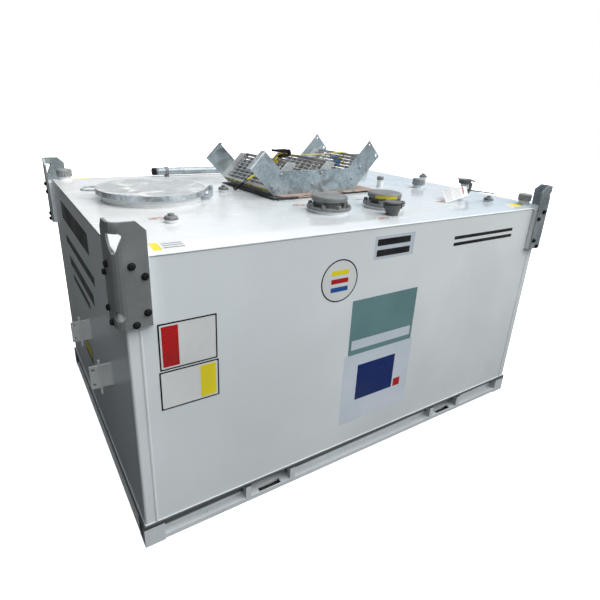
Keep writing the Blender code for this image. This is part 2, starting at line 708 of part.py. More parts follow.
def tread(length):
    """Grating tread, X up its slope and its walking face at the low Z side: end plates, nosing, bars across."""
    half = length / 2
    plate_thickness = 0.005
    inner = half - plate_thickness / 2
    low = TREAD_FACE
    pieces = [(0.0, NOSING, -inner, inner, low, low + NOSING_DEPTH)]
    for number in range(BAR_COUNT):
        high = TOP_BAR - number * BAR_PITCH
        pieces.append((high - plate_thickness, high, -inner, inner, low, low + BAR_DEPTH))
    for place in (-0.21, 0.0, 0.21):
        pieces.append((0.0, TOP_BAR, place - 0.003, place + 0.003, low, low + 0.008))
    shape = blocks(pieces)
    for near, far in ((-half, plate_thickness - half), (half - plate_thickness, half)):
        shape = combine(shape, on_its_side(plate(TREAD_END, near, far)), "UNION")
    return shape


def strap_and_ratchet(webbing, iron):
    """Webbing over the treads that ties the stair to the roof, with its ratchet on top."""
    frame = stair_frame()
    route = [
        (0.9205, 0.310, 0.2195),
        (0.8935, 0.310, 0.2468),
        (0.1600, 0.155, 0.2212),
        (-0.068, 0.300, 0.054),
        (-0.085, 0.315, -0.011),
    ]
    half = STRAP_WIDTH / 2
    shape = bmesh.new()
    rows = []
    for index, point in enumerate(route):
        before = Vector(route[max(index - 1, 0)])
        after = Vector(route[min(index + 1, len(route) - 1)])
        direction = (after - before).normalized()
        up = Vector((direction.z, 0, -direction.x)).normalized()
        up = up if up.z > 0 else -up
        rise = up * STRAP_THICKNESS
        centre = Vector(point)
        across = Vector((0, half, 0))
        rows.append([shape.verts.new(p) for p in (centre - across, centre + across, centre + across + rise, centre - across + rise)])
    for first, second in zip(rows, rows[1:]):
        for step in range(4):
            after = (step + 1) % 4
            shape.faces.new((first[step], first[after], second[after], second[step]))
    shape.faces.new(rows[0])
    shape.faces.new(rows[-1])
    add_node("stair_strap", shape, webbing, frame)
    tilt = Matrix.Translation((0.205, 0.165, 0.2262)) @ Matrix.Rotation(radians(-2.0), 4, "Y")
    body = [(-0.045, 0.045, -0.022, 0.022, 0.0, 0.018), (-0.030, 0.010, -0.026, 0.026, 0.010, 0.032)]
    add_node("strap_ratchet", blocks(body), iron, frame @ tilt)


def dunnage(card, rubber):
    """Mat and board that keep the stair off the roof paint."""
    frame = stair_frame()
    roof = ROOF - STAIR_PLACE.z
    mat_top = roof + 0.006
    add_node("dunnage_mat", blocks([(-0.030, 0.900, -0.060, 0.700, roof, mat_top)]), rubber, frame)
    board = [(-0.020, 0.120, -0.085, 0.640), (0.120, 0.400, -0.040, 0.690), (0.400, 0.955, -0.030, 0.640)]
    boxes = [(*piece, mat_top + FIT, -FIT) for piece in board]
    add_node("dunnage_board", blocks(boxes), card, frame)


def vent_pipe(zinc, iron):
    """Loose vent pipe held over the back of the roof by two ring clamps on feet."""
    rod("vent_pipe", [(PIPE_LEFT, PIPE_PLACE, PIPE_HEIGHT), (PIPE_RIGHT, PIPE_PLACE, PIPE_HEIGHT)], PIPE_RADIUS, zinc, sides=4)
    inner = PIPE_RADIUS + 0.0008
    outer = inner + 0.005
    centre = (PIPE_PLACE, PIPE_HEIGHT)
    foot = ROOF + 0.004
    outline = [
        (PIPE_PLACE - 0.035, ROOF),
        (PIPE_PLACE + 0.035, ROOF),
        (PIPE_PLACE + 0.035, foot),
        *arc(centre, outer, -72, 252, 22),
        (PIPE_PLACE - 0.035, foot),
    ]
    for end, place in CLAMP_PLACES.items():
        clamp = plate(outline, -0.012, 0.012, [circle(inner, 24, centre)])
        stand = Matrix(((0, 0, 1, place), (1, 0, 0, 0), (0, 1, 0, 0), (0, 0, 0, 1)))
        bmesh.ops.transform(clamp, verts=clamp.verts[:], matrix=stand)
        add_node(f"pipe_clamp_{end}", clamp, iron, smooth=True)


def build():
    """The whole tank."""
    clear_scene()
    paint = finish("white_paint", (0.80, 0.83, 0.84), 0.35, 0.0)
    steel = finish("bare_steel", (0.42, 0.42, 0.43), 0.5, 0.8)
    zinc = finish("galvanised_steel", (0.50, 0.54, 0.56), 0.45, 0.8)
    iron = finish("grey_iron", (0.22, 0.23, 0.24), 0.6, 0.3)
    webbing = finish("yellow_webbing", (0.75, 0.62, 0.05), 0.8, 0.0)
    card = finish("brown_board", (0.45, 0.33, 0.27), 0.9, 0.0)
    rubber = finish("dark_rubber", (0.04, 0.04, 0.04), 0.8, 0.0)

    skid_rail("skid_rail_front", -1, paint)
    skid_rail("skid_rail_back", 1, paint)
    skid_end("skid_end_left", -1, paint)
    skid_end("skid_end_right", 1, paint)
    for end, centre in pocket_centres().items():
        fork_pocket(f"fork_pocket_{end}", centre, paint)
    floor_plate(paint)
    end_wall("left_end_wall", -1, paint)
    end_wall("right_end_wall", 1, paint)
    long_wall("front_wall", -1, paint)
    long_wall("back_wall", 1, paint)
    roof_plate(paint)
    primary_tank(steel)
    manway_neck(paint)
    manway_lid(zinc)
    hinge_ears(paint)
    corner_angles(paint, zinc)
    emergency_vents(paint, iron)
    fill_and_gauge(iron)
    plugs_and_risers(iron)
    stair_brackets(paint)
    stair(zinc)
    strap_and_ratchet(webbing, iron)
    dunnage(card, rubber)
    vent_pipe(zinc, iron)
    set_origin()


build()
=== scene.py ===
import json
from math import cos, exp, pi, radians, sin, sqrt
from random import Random

import bmesh
import bpy
from mathutils import Matrix, Vector, noise


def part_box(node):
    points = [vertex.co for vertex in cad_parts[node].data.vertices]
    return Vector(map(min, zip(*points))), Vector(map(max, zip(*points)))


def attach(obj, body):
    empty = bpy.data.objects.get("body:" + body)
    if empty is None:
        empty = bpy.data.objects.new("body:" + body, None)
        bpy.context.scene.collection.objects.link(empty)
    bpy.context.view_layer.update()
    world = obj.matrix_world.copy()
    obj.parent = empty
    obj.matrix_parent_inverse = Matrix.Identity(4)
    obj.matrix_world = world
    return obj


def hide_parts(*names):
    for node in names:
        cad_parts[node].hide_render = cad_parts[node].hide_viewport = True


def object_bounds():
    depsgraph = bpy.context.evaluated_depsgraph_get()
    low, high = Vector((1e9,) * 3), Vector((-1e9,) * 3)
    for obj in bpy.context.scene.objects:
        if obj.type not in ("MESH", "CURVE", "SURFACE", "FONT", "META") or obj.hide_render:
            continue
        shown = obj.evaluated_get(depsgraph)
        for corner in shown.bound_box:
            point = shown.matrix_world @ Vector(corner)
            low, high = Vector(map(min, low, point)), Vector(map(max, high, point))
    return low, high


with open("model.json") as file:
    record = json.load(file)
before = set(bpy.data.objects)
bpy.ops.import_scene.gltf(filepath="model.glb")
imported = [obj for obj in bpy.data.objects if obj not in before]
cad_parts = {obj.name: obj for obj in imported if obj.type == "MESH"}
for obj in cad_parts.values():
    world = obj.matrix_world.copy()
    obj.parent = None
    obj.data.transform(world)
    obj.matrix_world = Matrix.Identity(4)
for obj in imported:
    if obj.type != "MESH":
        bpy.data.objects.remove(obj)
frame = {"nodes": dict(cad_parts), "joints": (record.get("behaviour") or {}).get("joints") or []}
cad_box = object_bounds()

# Camera: off the front left corner of the tank and above its roof, looking down at 21 degrees.
# Its place, turn and focal length were solved from the tank's own corners in the photograph.
FRAME_PIXELS = 600
FOCAL_PIXELS = 463.53
CENTRE_PIXELS = (305.23, 288.11)
camera = bpy.data.objects.new("camera", bpy.data.cameras.new("camera"))
bpy.context.scene.collection.objects.link(camera)
camera.matrix_world = Matrix(
    (
        (0.83476, 0.16140, -0.52643, -1.86735),
        (-0.54836, 0.33015, -0.76831, -2.98840),
        (0.04979, 0.93003, 0.36410, 2.21500),
        (0, 0, 0, 1),
    )
)
camera.data.sensor_width = 36
camera.data.lens = camera.data.sensor_width * FOCAL_PIXELS / FRAME_PIXELS
camera.data.shift_x = 0.5 - CENTRE_PIXELS[0] / FRAME_PIXELS
camera.data.shift_y = CENTRE_PIXELS[1] / FRAME_PIXELS - 0.5
camera.data.clip_start = 0.01
bpy.context.scene.camera = camera


# Skid: two long outward channels, two end channels, two fork pockets and the floor plate on them.
# Folded and welded steel plate under the tank's own white paint, scuffed and dusty near the ground; its paint
# is darker than the walls' as painted shade, with more painted shade in the channels under the floor plate's
# ledge.
def add_step(tree, kind, feeds=(), **settings):
    """A shader node with its settings, its values and what feeds it; a colour comes without its alpha."""
    step = tree.nodes.new(kind)
    for name, value in settings.items():
        setattr(step, name, value)
    for name, value in dict(feeds).items():
        socket = step.inputs[name]
        if isinstance(value, bpy.types.NodeSocket):
            tree.links.new(value, socket)
        else:
            socket.default_value = (*value, 1) if socket.type == "RGBA" else value
    return step


def mixed(tree, share, first, second):
    """Two colours mixed by a share of the second."""
    return add_step(tree, "ShaderNodeMix", {0: share, 6: first, 7: second}, data_type="RGBA").outputs[2]


def stretched(tree, value, low, high, to_low=0.0, to_high=1.0):
    """The part of a value between low and high, stretched to another range."""
    return add_step(tree, "ShaderNodeMapRange", {0: value, 1: low, 2: high, 3: to_low, 4: to_high}).outputs[0]


def sums(tree, operation, *values):
    """One sum of up to three values."""
    return add_step(tree, "ShaderNodeMath", dict(enumerate(values)), operation=operation).outputs[0]


def clouds(tree, scale, detail=3.0, squeeze=(1, 1, 1), distortion=0.0, places="Object"):
    """Noise over the surface, squeezed along its axes."""
    place = add_step(tree, "ShaderNodeTexCoord").outputs[places]
    moved = add_step(tree, "ShaderNodeMapping", {"Vector": place, "Scale": squeeze}).outputs[0]
    feeds = {"Vector": moved, "Scale": scale, "Detail": detail, "Distortion": distortion}
    return add_step(tree, "ShaderNodeTexNoise", feeds).outputs[0]


def surface_spot(tree):
    """The place of a point of the surface in the tank's frame, as X, Y and Z."""
    position = add_step(tree, "ShaderNodeNewGeometry").outputs["Position"]
    return add_step(tree, "ShaderNodeSeparateXYZ", {0: position}).outputs


def label_of(word):
    """A socket's label from a keyword."""
    return word.replace("_", " ").title()


def new_effect(name, gives, **takes):
    """An empty node group, the sockets that it takes, and a function that sends out what it gives."""
    group = bpy.data.node_groups.new(name, "ShaderNodeTree")
    for word, value in takes.items():
        is_colour = isinstance(value, tuple)
        kind = "NodeSocketColor" if is_colour else "NodeSocketFloat"
        socket = group.interface.new_socket(label_of(word), in_out="INPUT", socket_type=kind)
        socket.default_value = (*value, 1) if is_colour else value
    for label in gives:
        kind = "NodeSocketColor" if label == "Color" else "NodeSocketFloat"
        group.interface.new_socket(label, in_out="OUTPUT", socket_type=kind)
    inlets = group.nodes.new("NodeGroupInput").outputs
    outlets = group.nodes.new("NodeGroupOutput").inputs

    def give(**values):
        for word, value in values.items():
            group.links.new(value, outlets[label_of(word)])

    return group, inlets, give


def new_finish(name, **constants):
    """A material, its node tree and its shader, with the values that are the same all over."""
    finish = bpy.data.materials.new(name)
    finish.use_nodes = True
    shader = finish.node_tree.nodes["Principled BSDF"]
    for word, value in constants.items():
        shader.inputs[word.replace("_", " ")].default_value = value
    return finish, finish.node_tree, shader


def feed_shader(tree, shader, colour, roughness, height, depth):
    """Joins colour, roughness and relief to the shader."""
    tree.links.new(colour, shader.inputs["Base Color"])
    tree.links.new(roughness, shader.inputs["Roughness"])
    bump = add_step(tree, "ShaderNodeBump", {"Height": height, "Distance": depth, "Strength": 1.0})
    tree.links.new(bump.outputs[0], shader.inputs["Normal"])


def lay(tree, effect, **values):
    """Lays an effect over a surface with its own values, and returns what it gives."""
    feeds = {label_of(word): value for word, value in values.items()}
    return add_step(tree, "ShaderNodeGroup", feeds, node_tree=effect).outputs


def coated(name, effect, depth, film, **constants):
    """A material under one effect, with the depth of its relief and the values of its film."""
    finish, tree, shader = new_finish(name, **constants)
    given = lay(tree, effect, **film)
    feed_shader(tree, shader, given["Color"], given["Roughness"], given["Height"], depth)
    return finish


def tint(finish, share, colour):
    """Lays one more colour over a material by a share."""
    base = finish.node_tree.nodes["Principled BSDF"].inputs["Base Color"]
    under = base.links[0].from_socket
    finish.node_tree.links.new(mixed(finish.node_tree, share, under, colour), base)


paint_film, takes, give = new_effect(
    "paint film",
    ("Color", "Roughness", "Height"),
    color=(0.8, 0.8, 0.8),
    shade=(0.7, 0.7, 0.7),
    dirt=(0.3, 0.28, 0.25),
    dirt_amount=0.2,
    streaks=0.2,
    smooth=0.2,
    rough=0.4,
)
broad = clouds(paint_film, 1.3, 4)
runs = clouds(paint_film, 2.2, 5, squeeze=(9, 9, 0.6))
specks = clouds(paint_film, 70, 2)
scuffs = clouds(paint_film, 7, 8, distortion=1.5)
waves = sums(paint_film, "MULTIPLY_ADD", clouds(paint_film, 9, 2), 0.12, clouds(paint_film, 2.4, 1))
peel = clouds(paint_film, 320, 1)
run_mask = sums(paint_film, "MULTIPLY", stretched(paint_film, runs, 0.52, 0.78), takes["Streaks"])
scuff_mask = sums(paint_film, "MULTIPLY", stretched(paint_film, scuffs, 0.60, 0.72), takes["Dirt Amount"])
spot_mask = sums(paint_film, "MULTIPLY", scuff_mask, stretched(paint_film, specks, 0.45, 0.7))
film = mixed(paint_film, stretched(paint_film, broad, 0.38, 0.66), takes["Color"], takes["Shade"])
film = mixed(paint_film, run_mask, film, takes["Dirt"])
dulled = sums(paint_film, "MULTIPLY_ADD", run_mask, 0.5, scuffs)
give(
    color=mixed(paint_film, spot_mask, film, takes["Dirt"]),
    roughness=stretched(paint_film, dulled, 0.35, 0.75, takes["Smooth"], takes["Rough"]),
    height=sums(paint_film, "MULTIPLY_ADD", peel, 0.012, waves),
)


def painted(name, depth, coat, **film):
    """White paint of one part of the tank: the depth of its waves, its gloss coat and its film."""
    return coated(
        name, paint_film, depth, film, Coat_Weight=coat, Coat_Roughness=0.08, Specular_IOR_Level=0.45
    )


def dress(finish, *names):
    """Gives CAD nodes their finish."""
    for name in names:
        for holder in frame["nodes"][name].material_slots:
            holder.material = finish


def soften(item, width, segments=2):
    """Rounds the edges of a piece or CAD node a little."""
    weld = item.modifiers.new("joined faces", "WELD")
    weld.merge_threshold = 0.00005
    bevel = item.modifiers.new("soft edges", "BEVEL")
    bevel.width = width
    bevel.segments = segments
    bevel.limit_method = "ANGLE"
    bevel.angle_limit = radians(40)


def add_piece(name, shape, finish, body="tank", stands_for=(), sharp=35, more=()):
    """Turns a bmesh in the tank's frame into a piece that rides on a body."""
    bmesh.ops.recalc_face_normals(shape, faces=shape.faces[:])
    mesh = bpy.data.meshes.new(name)
    shape.to_mesh(mesh)
    shape.free()
    for each in (finish, *more):
        mesh.materials.append(each)
    mesh.shade_smooth()
    mesh.set_sharp_from_angle(angle=radians(sharp))
    piece = bpy.data.objects.new(name, mesh)
    bpy.context.scene.collection.objects.link(piece)
    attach(piece, body)
    if stands_for:
        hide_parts(*stands_for)
    return piece


def join_rings(shape, rings, around=False):
    """Spans faces from ring to ring; a ring of one point is a tip, and around joins the last to the first."""
    faces = []
    for first, second in list(zip(rings, rings[1:])) + ([(rings[-1], rings[0])] if around else []):
        for step in range(max(len(first), len(second))):
            after = step + 1
            corners = (first[step % len(first)], first[after % len(first)])
            corners += (second[after % len(second)], second[step % len(second)])
            corners = list(dict.fromkeys(corners))
            if len(corners) > 2:
                faces.append(shape.faces.new(corners))
    return faces


def weld_bead(shape, points, outwards, width=0.009, height=0.003, seed=1, closed=False):
    """Adds a run of weld: a low rippled ridge along points, standing along the outward directions."""
    sunk, wander, arc_steps = 0.001, 0.0006, 5
    draw = Random(seed)
    rings = []
    for step, (point, outward) in enumerate(zip(points, outwards)):
        ahead = points[(step + 1) % len(points)] if closed else points[min(step + 1, len(points) - 1)]
        along = ahead - (points[step - 1] if closed or step else points[0])
        across = along.cross(outward).normalized()
        swell = 0.75 + 0.35 * abs(sin(step * 1.05)) * draw.uniform(0.4, 1)
        middle = point + across * draw.uniform(-wander, wander)
        ring = [middle - outward * sunk - across * width / 2]
        for turn in range(arc_steps + 1):
            angle = pi - pi * turn / arc_steps
            ridge = across * cos(angle) * width / 2 + outward * sin(angle) * height
            ring.append(middle + ridge * swell)
        ring.append(middle - outward * sunk + across * width / 2)
        rings.append([shape.verts.new(corner) for corner in ring])
    join_rings(shape, rings, around=closed)
    if not closed:
        shape.faces.new(rings[0])
        shape.faces.new(rings[-1])


def straight_bead(shape, start, end, outward, **sizes):
    """Adds a weld along a straight joint."""
    start, end = Vector(start), Vector(end)
    count = max(3, round((end - start).length / 0.004))
    points = [start.lerp(end, step / count) for step in range(count + 1)]
    weld_bead(shape, points, [Vector(outward).normalized()] * len(points), **sizes)


# The skid's paint is darker than the wall paint: painted shade under the tank.
skid_paint = painted(
    "skid_paint",
    depth=0.004,
    coat=0.15,
    color=(0.60, 0.65, 0.68),
    shade=(0.52, 0.56, 0.59),
    dirt=(0.24, 0.23, 0.21),
    dirt_amount=0.7,
    streaks=0.15,
    smooth=0.28,
    rough=0.60,
)
# Painted shade: the upper web of each long channel is darkened, reaching lower towards the left end.
# Everything from 10 mm below the rails' top upwards is darkened too, as the painted shadow under the floor
# plate's ledge.
CHANNEL_SHADE = (0.030, 0.045)
SHADE_DEPTH = 0.074
SHADE_SLOPE = 0.009
SHADE_EDGE = (-0.004, 0.008)
LEDGE_SHADOW_SPAN = (0.012, 0.010)
PAINTED_SHADE_SHARE = 0.93
PAINTED_SHADE_COLOUR = (0.02, 0.021, 0.022)
rail_low, rail_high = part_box("skid_rail_front")
tree = skid_paint.node_tree
spot = surface_spot(tree)
off_middle = sums(tree, "ABSOLUTE", spot["Y"])
inside = stretched(tree, off_middle, *[-rail_low.y - reach for reach in CHANNEL_SHADE])
shade_foot = sums(tree, "MULTIPLY_ADD", spot["X"], SHADE_SLOPE, rail_high.z - SHADE_DEPTH)
under_top = stretched(tree, sums(tree, "SUBTRACT", spot["Z"], shade_foot), *SHADE_EDGE)
ledge_shadow = stretched(tree, spot["Z"], *[rail_high.z - reach for reach in LEDGE_SHADOW_SPAN])
painted_shade = sums(tree, "MAXIMUM", sums(tree, "MULTIPLY", inside, under_top), ledge_shadow)
tint(skid_paint, sums(tree, "MULTIPLY", painted_shade, PAINTED_SHADE_SHARE), PAINTED_SHADE_COLOUR)
skid_nodes = [name for name in frame["nodes"] if name.startswith(("skid_", "fork_pocket_"))]
dress(skid_paint, *skid_nodes, "floor_plate")
for name in skid_nodes:
    soften(frame["nodes"][name], 0.0015)
soften(frame["nodes"]["floor_plate"], 0.003)

CHANNEL_DEPTH = 0.055
POST_REACH = 0.027
post_welds = bmesh.new()
for side, rail_face in ((-1, rail_low.y), (1, -rail_low.y)):
    web = rail_face - side * CHANNEL_DEPTH
    for pocket in ("fork_pocket_left", "fork_pocket_right"):
        pocket_low, pocket_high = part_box(pocket)
        for edge in (pocket_low.x - POST_REACH, pocket_high.x + POST_REACH):
            foot, head = (edge, web, 0.040), (edge, web, rail_high.z - 0.002)
            seed = int(abs(edge) * 100)
            straight_bead(post_welds, foot, head, (0, side, 0), width=0.008, height=0.004, seed=seed)
add_piece("skid_post_welds", post_welds, skid_paint)


# Inner tank: five plates and a roof of bare plate steel, on bearers inside the bund.
# It is seen only through the open manway: dull bare steel with mill scale.
scale_film, takes, give = new_effect(
    "mill scale", ("Color", "Roughness", "Height"), color=(0.3, 0.3, 0.3), light=(0.45, 0.45, 0.45)
)
flakes = clouds(scale_film, 12, 8, distortion=0.8)
rolled = clouds(scale_film, 3, 4, squeeze=(1, 14, 14))
give(
    color=mixed(scale_film, stretched(scale_film, flakes, 0.4, 0.62), takes["Color"], takes["Light"]),
    roughness=stretched(scale_film, rolled, 0.3, 0.7, 0.35, 0.65),
    height=flakes,
)
tank_steel = coated("tank_steel", scale_film, 0.001, {}, Metallic=0.8)
dress(tank_steel, *[name for name in frame["nodes"] if name.startswith("primary_")])


# Outer shell: two end sheets folded round the corners, two long sheets between them and a crowned roof.
# Plate steel, welded all round, under white gloss paint that shows the plates' waves; painted light makes the
# walls paler towards the right end, the walls grow darker towards the bottom, and painted light and painted
# reflection tint the roof.
wall_paint = painted(
    "wall_paint",
    depth=0.003,
    coat=0.2,
    color=(0.800, 0.862, 0.895),
    shade=(0.768, 0.829, 0.862),
    dirt=(0.50, 0.50, 0.48),
    dirt_amount=0.12,
    streaks=0.06,
    smooth=0.30,
    rough=0.38,
)
# Painted light: the walls grow paler towards the right end.
PAINTED_LIGHT_SPAN = (-0.6, 1.3)
PAINTED_LIGHT_COLOUR = (0.925, 0.98, 1.0)
# The walls grow darker towards the bottom, with a cloudy edge.
LOW_DARKENING_SPAN = (1.35, 0.15)
LOW_DARKENING_COLOUR = (0.605, 0.655, 0.680)
tree = wall_paint.node_tree
spot = surface_spot(tree)
haze = stretched(tree, clouds(tree, 1.7, 5), 0.35, 0.65, -0.15, 0.15)
# dusty holds the share by which the walls darken towards the bottom.
dusty = sums(tree, "ADD", stretched(tree, spot["Z"], *LOW_DARKENING_SPAN, 0.0, 0.80), haze)
tint(wall_paint, stretched(tree, spot["X"], *PAINTED_LIGHT_SPAN, 0.0, 0.9), PAINTED_LIGHT_COLOUR)
tint(wall_paint, dusty, LOW_DARKENING_COLOUR)
roof_paint = painted(
    "roof_paint",
    depth=0.006,
    coat=0.5,
    color=(0.80, 0.835, 0.855),
    shade=(0.76, 0.81, 0.84),
    dirt=(0.50, 0.49, 0.46),
    dirt_amount=0.30,
    streaks=0.0,
    smooth=0.14,
    rough=0.30,
)
# Painted light and painted reflection on the roof: whiter towards the left end and the back, bluer and darker
# towards the right end.
ROOF_PAINTED_LIGHT = (
    ("X", (-0.3, -1.2), 0.9, (0.93, 0.94, 0.945)),
    ("X", (-0.2, 1.5), 0.9, (0.58, 0.67, 0.73)),
    ("Y", (0.35, 1.0), 0.8, (0.93, 0.93, 0.92)),
)
tree = roof_paint.node_tree
spot = surface_spot(tree)
for axis, span, share, colour in ROOF_PAINTED_LIGHT:
    tint(roof_paint, stretched(tree, spot[axis], *span, 0.0, share), colour)
dress(wall_paint, "front_wall", "back_wall", "left_end_wall", "right_end_wall")
ROOF_EDGE = 1.600
SLOPE_WIDTH = 0.115
PLATE_WAVE = 0.0009
ROOF_SHEET = 0.004
ROOF_PITCH = 0.030
ROOF_HOLE = 0.306
RIM = ((0.0, 0.0045), (0.0, 0.0022), (0.0007, 0.0008), (0.0022, 0.0001), (0.010, 0.0), (0.022, 0.0))
wall_low, wall_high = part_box("front_wall")
roof_low, roof_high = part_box("roof_plate")
neck_low, neck_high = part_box("manway_neck")
manway_centre = (neck_low + neck_high) / 2


def crown_height(x, y):
    """Height of the crowned roof at a place, with the waves of its plate."""
    inward = min(1.0, max(0.0, (roof_high.y - abs(y)) / SLOPE_WIDTH))
    rise = (roof_high.z - ROOF_EDGE) * (1 - (1 - inward) ** 1.6)
    wave = PLATE_WAVE * (0.5 + 0.5 * noise.noise(Vector((x * 2.1, y * 2.1, 4.4))))
    return ROOF_EDGE + rise - wave * inward


def stations(low, high, pitch, border=0.04):
    """Places across the roof and how far each drops at the rounded rim."""
    inner = high - low - 2 * border
    count = round(inner / pitch)
    inside = [(low + border + inner * step / count, 0.0) for step in range(count + 1)]
    near_rim = [(low + place, drop) for place, drop in RIM]
    far_rim = [(high - place, drop) for place, drop in reversed(RIM)]
    return near_rim + inside + far_rim


def join_rows(shape, rows, keep=None):
    """Spans faces between rows of points, or only those that keep holds for."""
    for near, far in zip(rows, rows[1:]):
        for step in range(len(near) - 1):
            corners = (near[step], far[step], far[step + 1], near[step + 1])
            if keep is None or keep(corners):
                shape.faces.new(corners)


def thicken(shape, faces, shift):
    """Gives a sheet its thickness: copies its faces along a shift and closes the edges."""
    grown = bmesh.ops.extrude_face_region(shape, geom=faces)
    pushed = [item for item in grown["geom"] if isinstance(item, bmesh.types.BMVert)]
    bmesh.ops.translate(shape, verts=pushed, vec=shift)
    return pushed


def outside_manway(corners):
    """Whether a face of the roof lies outside the manway's hole."""
    middle = sum((corner.co for corner in corners), Vector()) / len(corners)
    return (middle - manway_centre).xy.length > ROOF_HOLE - 0.006


roof = bmesh.new()
lattice = []
across_roof = stations(roof_low.y, roof_high.y, ROOF_PITCH)
for x, drop_x in stations(roof_low.x, roof_high.x, ROOF_PITCH):
    row = [(x, y, crown_height(x, y) - max(drop_x, drop_y)) for y, drop_y in across_roof]
    lattice.append([roof.verts.new(point) for point in row])
join_rows(roof, lattice, keep=outside_manway)
for vert in [vert for vert in roof.verts if not vert.link_faces]:
    roof.verts.remove(vert)
for vert in roof.verts:
    out = vert.co.xy - manway_centre.xy
    if out.length < ROOF_HOLE:
        vert.co.xy = manway_centre.xy + out.normalized() * ROOF_HOLE
thicken(roof, roof.faces[:], (0, 0, -ROOF_SHEET))
add_piece("roof_sheet", roof, roof_paint, stands_for=("roof_plate",), sharp=60)

CORNER_SEAM = {"width": 0.016, "height": 0.0050}
RIM_SEAM = {"width": 0.010, "height": 0.0028}
FOOT_SEAM = {"width": 0.008, "height": 0.004}
seams = bmesh.new()
for side in (-1, 1):
    face = side * -wall_low.y
    for edge in (wall_low.x, wall_high.x):
        foot, head = (edge, face, wall_low.z + 0.002), (edge, face, wall_high.z)
        straight_bead(seams, foot, head, (0, side, 0), seed=11 + side, **CORNER_SEAM)
    for height, outward, seed, sizes in (
        (wall_high.z + 0.0035, (0, side * 0.7, 0.3), 21, RIM_SEAM),
        (wall_low.z, (0, side, 1), 31, FOOT_SEAM),
    ):
        start, end = (roof_low.x, face, height), (roof_high.x, face, height)
        straight_bead(seams, start, end, outward, seed=seed + side, **sizes)
for side, edge in ((-1, roof_low.x), (1, roof_high.x)):
    start, end = (edge, wall_low.y, wall_low.z), (edge, -wall_low.y, wall_low.z)
    straight_bead(seams, start, end, (side, 0, 1), seed=41 + side, **FOOT_SEAM)
add_piece("shell_seams", seams, wall_paint)


# Manway: a round neck with a loose-skirted lid on a pin hinge, lifted by a bar loop.
# The neck is painted with the tank; the lid is dented galvanised sheet with white rust, and its loop, eye
# and ears are galvanised with it.
def eased(points, radius, steps=3, closed=True):
    """Rounds the corners of an outline."""
    result = []
    for index, point in enumerate(points):
        here = Vector(point)
        if not closed and index in (0, len(points) - 1):
            result.append(tuple(here))
            continue
        before = Vector(points[index - 1]) - here
        after = Vector(points[(index + 1) % len(points)]) - here
        reach = min(radius, before.length * 0.45, after.length * 0.45)
        start, end = here + before.normalized() * reach, here + after.normalized() * reach
        for step in range(steps + 1):
            share = step / steps
            result.append(tuple(start * (1 - share) ** 2 + here * 2 * share * (1 - share) + end * share**2))
    return result


def turned(
    shape, profile, place=Matrix.Identity(4), sides=64, ribs=0, rib_depth=0.0, rib_span=(0, 0), wall=False
):
    """Adds a body turned about Z from a profile of (radius, height), ribbed between two heights."""
    rings = []
    for radius, height in profile:
        ring = []
        for step in range(sides if radius > 1e-6 else 1):
            angle = 2 * pi * step / sides
            reach = radius
            if ribs and rib_span[0] <= height <= rib_span[1]:
                reach -= rib_depth * (0.5 + 0.5 * cos(ribs * angle)) ** 2
            ring.append(shape.verts.new(place @ Vector((reach * cos(angle), reach * sin(angle), height))))
        rings.append(ring)
    join_rings(shape, rings, around=wall)


def ring_bead(shape, centre, radius, level, width=0.010, height=0.005, seed=3):
    """Adds a weld round the foot of a neck or pipe."""
    count = max(24, round(2 * pi * radius / 0.005))
    points, outwards = [], []
    for step in range(count):
        angle = 2 * pi * step / count
        points.append(Vector((centre.x + radius * cos(angle), centre.y + radius * sin(angle), level)))
        outwards.append(Vector((cos(angle), sin(angle), 1)).normalized())
    weld_bead(shape, points, outwards, width=width, height=height, seed=seed, closed=True)


zinc_film, takes, give = new_effect(
    "galvanised zinc",
    ("Color", "Roughness", "Height"),
    color=(0.4, 0.42, 0.43),
    light=(0.6, 0.62, 0.63),
    stain=(0.8, 0.8, 0.8),
    stain_amount=0.3,
    spangle=60.0,
    smooth=0.3,
    rough=0.55,
)
place = add_step(zinc_film, "ShaderNodeTexCoord").outputs["Object"]
cells = add_step(zinc_film, "ShaderNodeTexVoronoi", {"Vector": place, "Scale": takes["Spangle"]})
cell_tone = add_step(zinc_film, "ShaderNodeRGBToBW", {0: cells.outputs["Color"]}).outputs[0]
blotches = sums(zinc_film, "MULTIPLY", clouds(zinc_film, 7, 8, distortion=0.6), 0.8)
tone = sums(zinc_film, "MULTIPLY_ADD", cell_tone, 0.35, blotches)
zinc = mixed(zinc_film, stretched(zinc_film, tone, 0.35, 0.85), takes["Color"], takes["Light"])
stains = stretched(zinc_film, clouds(zinc_film, 4.5, 9, distortion=1.2), 0.53, 0.68)
stain_mask = sums(zinc_film, "MULTIPLY", stains, takes["Stain Amount"])
dulled = sums(zinc_film, "ADD", tone, stain_mask)
give(
    color=mixed(zinc_film, stain_mask, zinc, takes["Stain"]),
    roughness=stretched(zinc_film, dulled, 0.35, 1.0, takes["Smooth"], takes["Rough"]),
    height=sums(zinc_film, "MULTIPLY_ADD", clouds(zinc_film, 160, 3), 0.35, blotches),
)

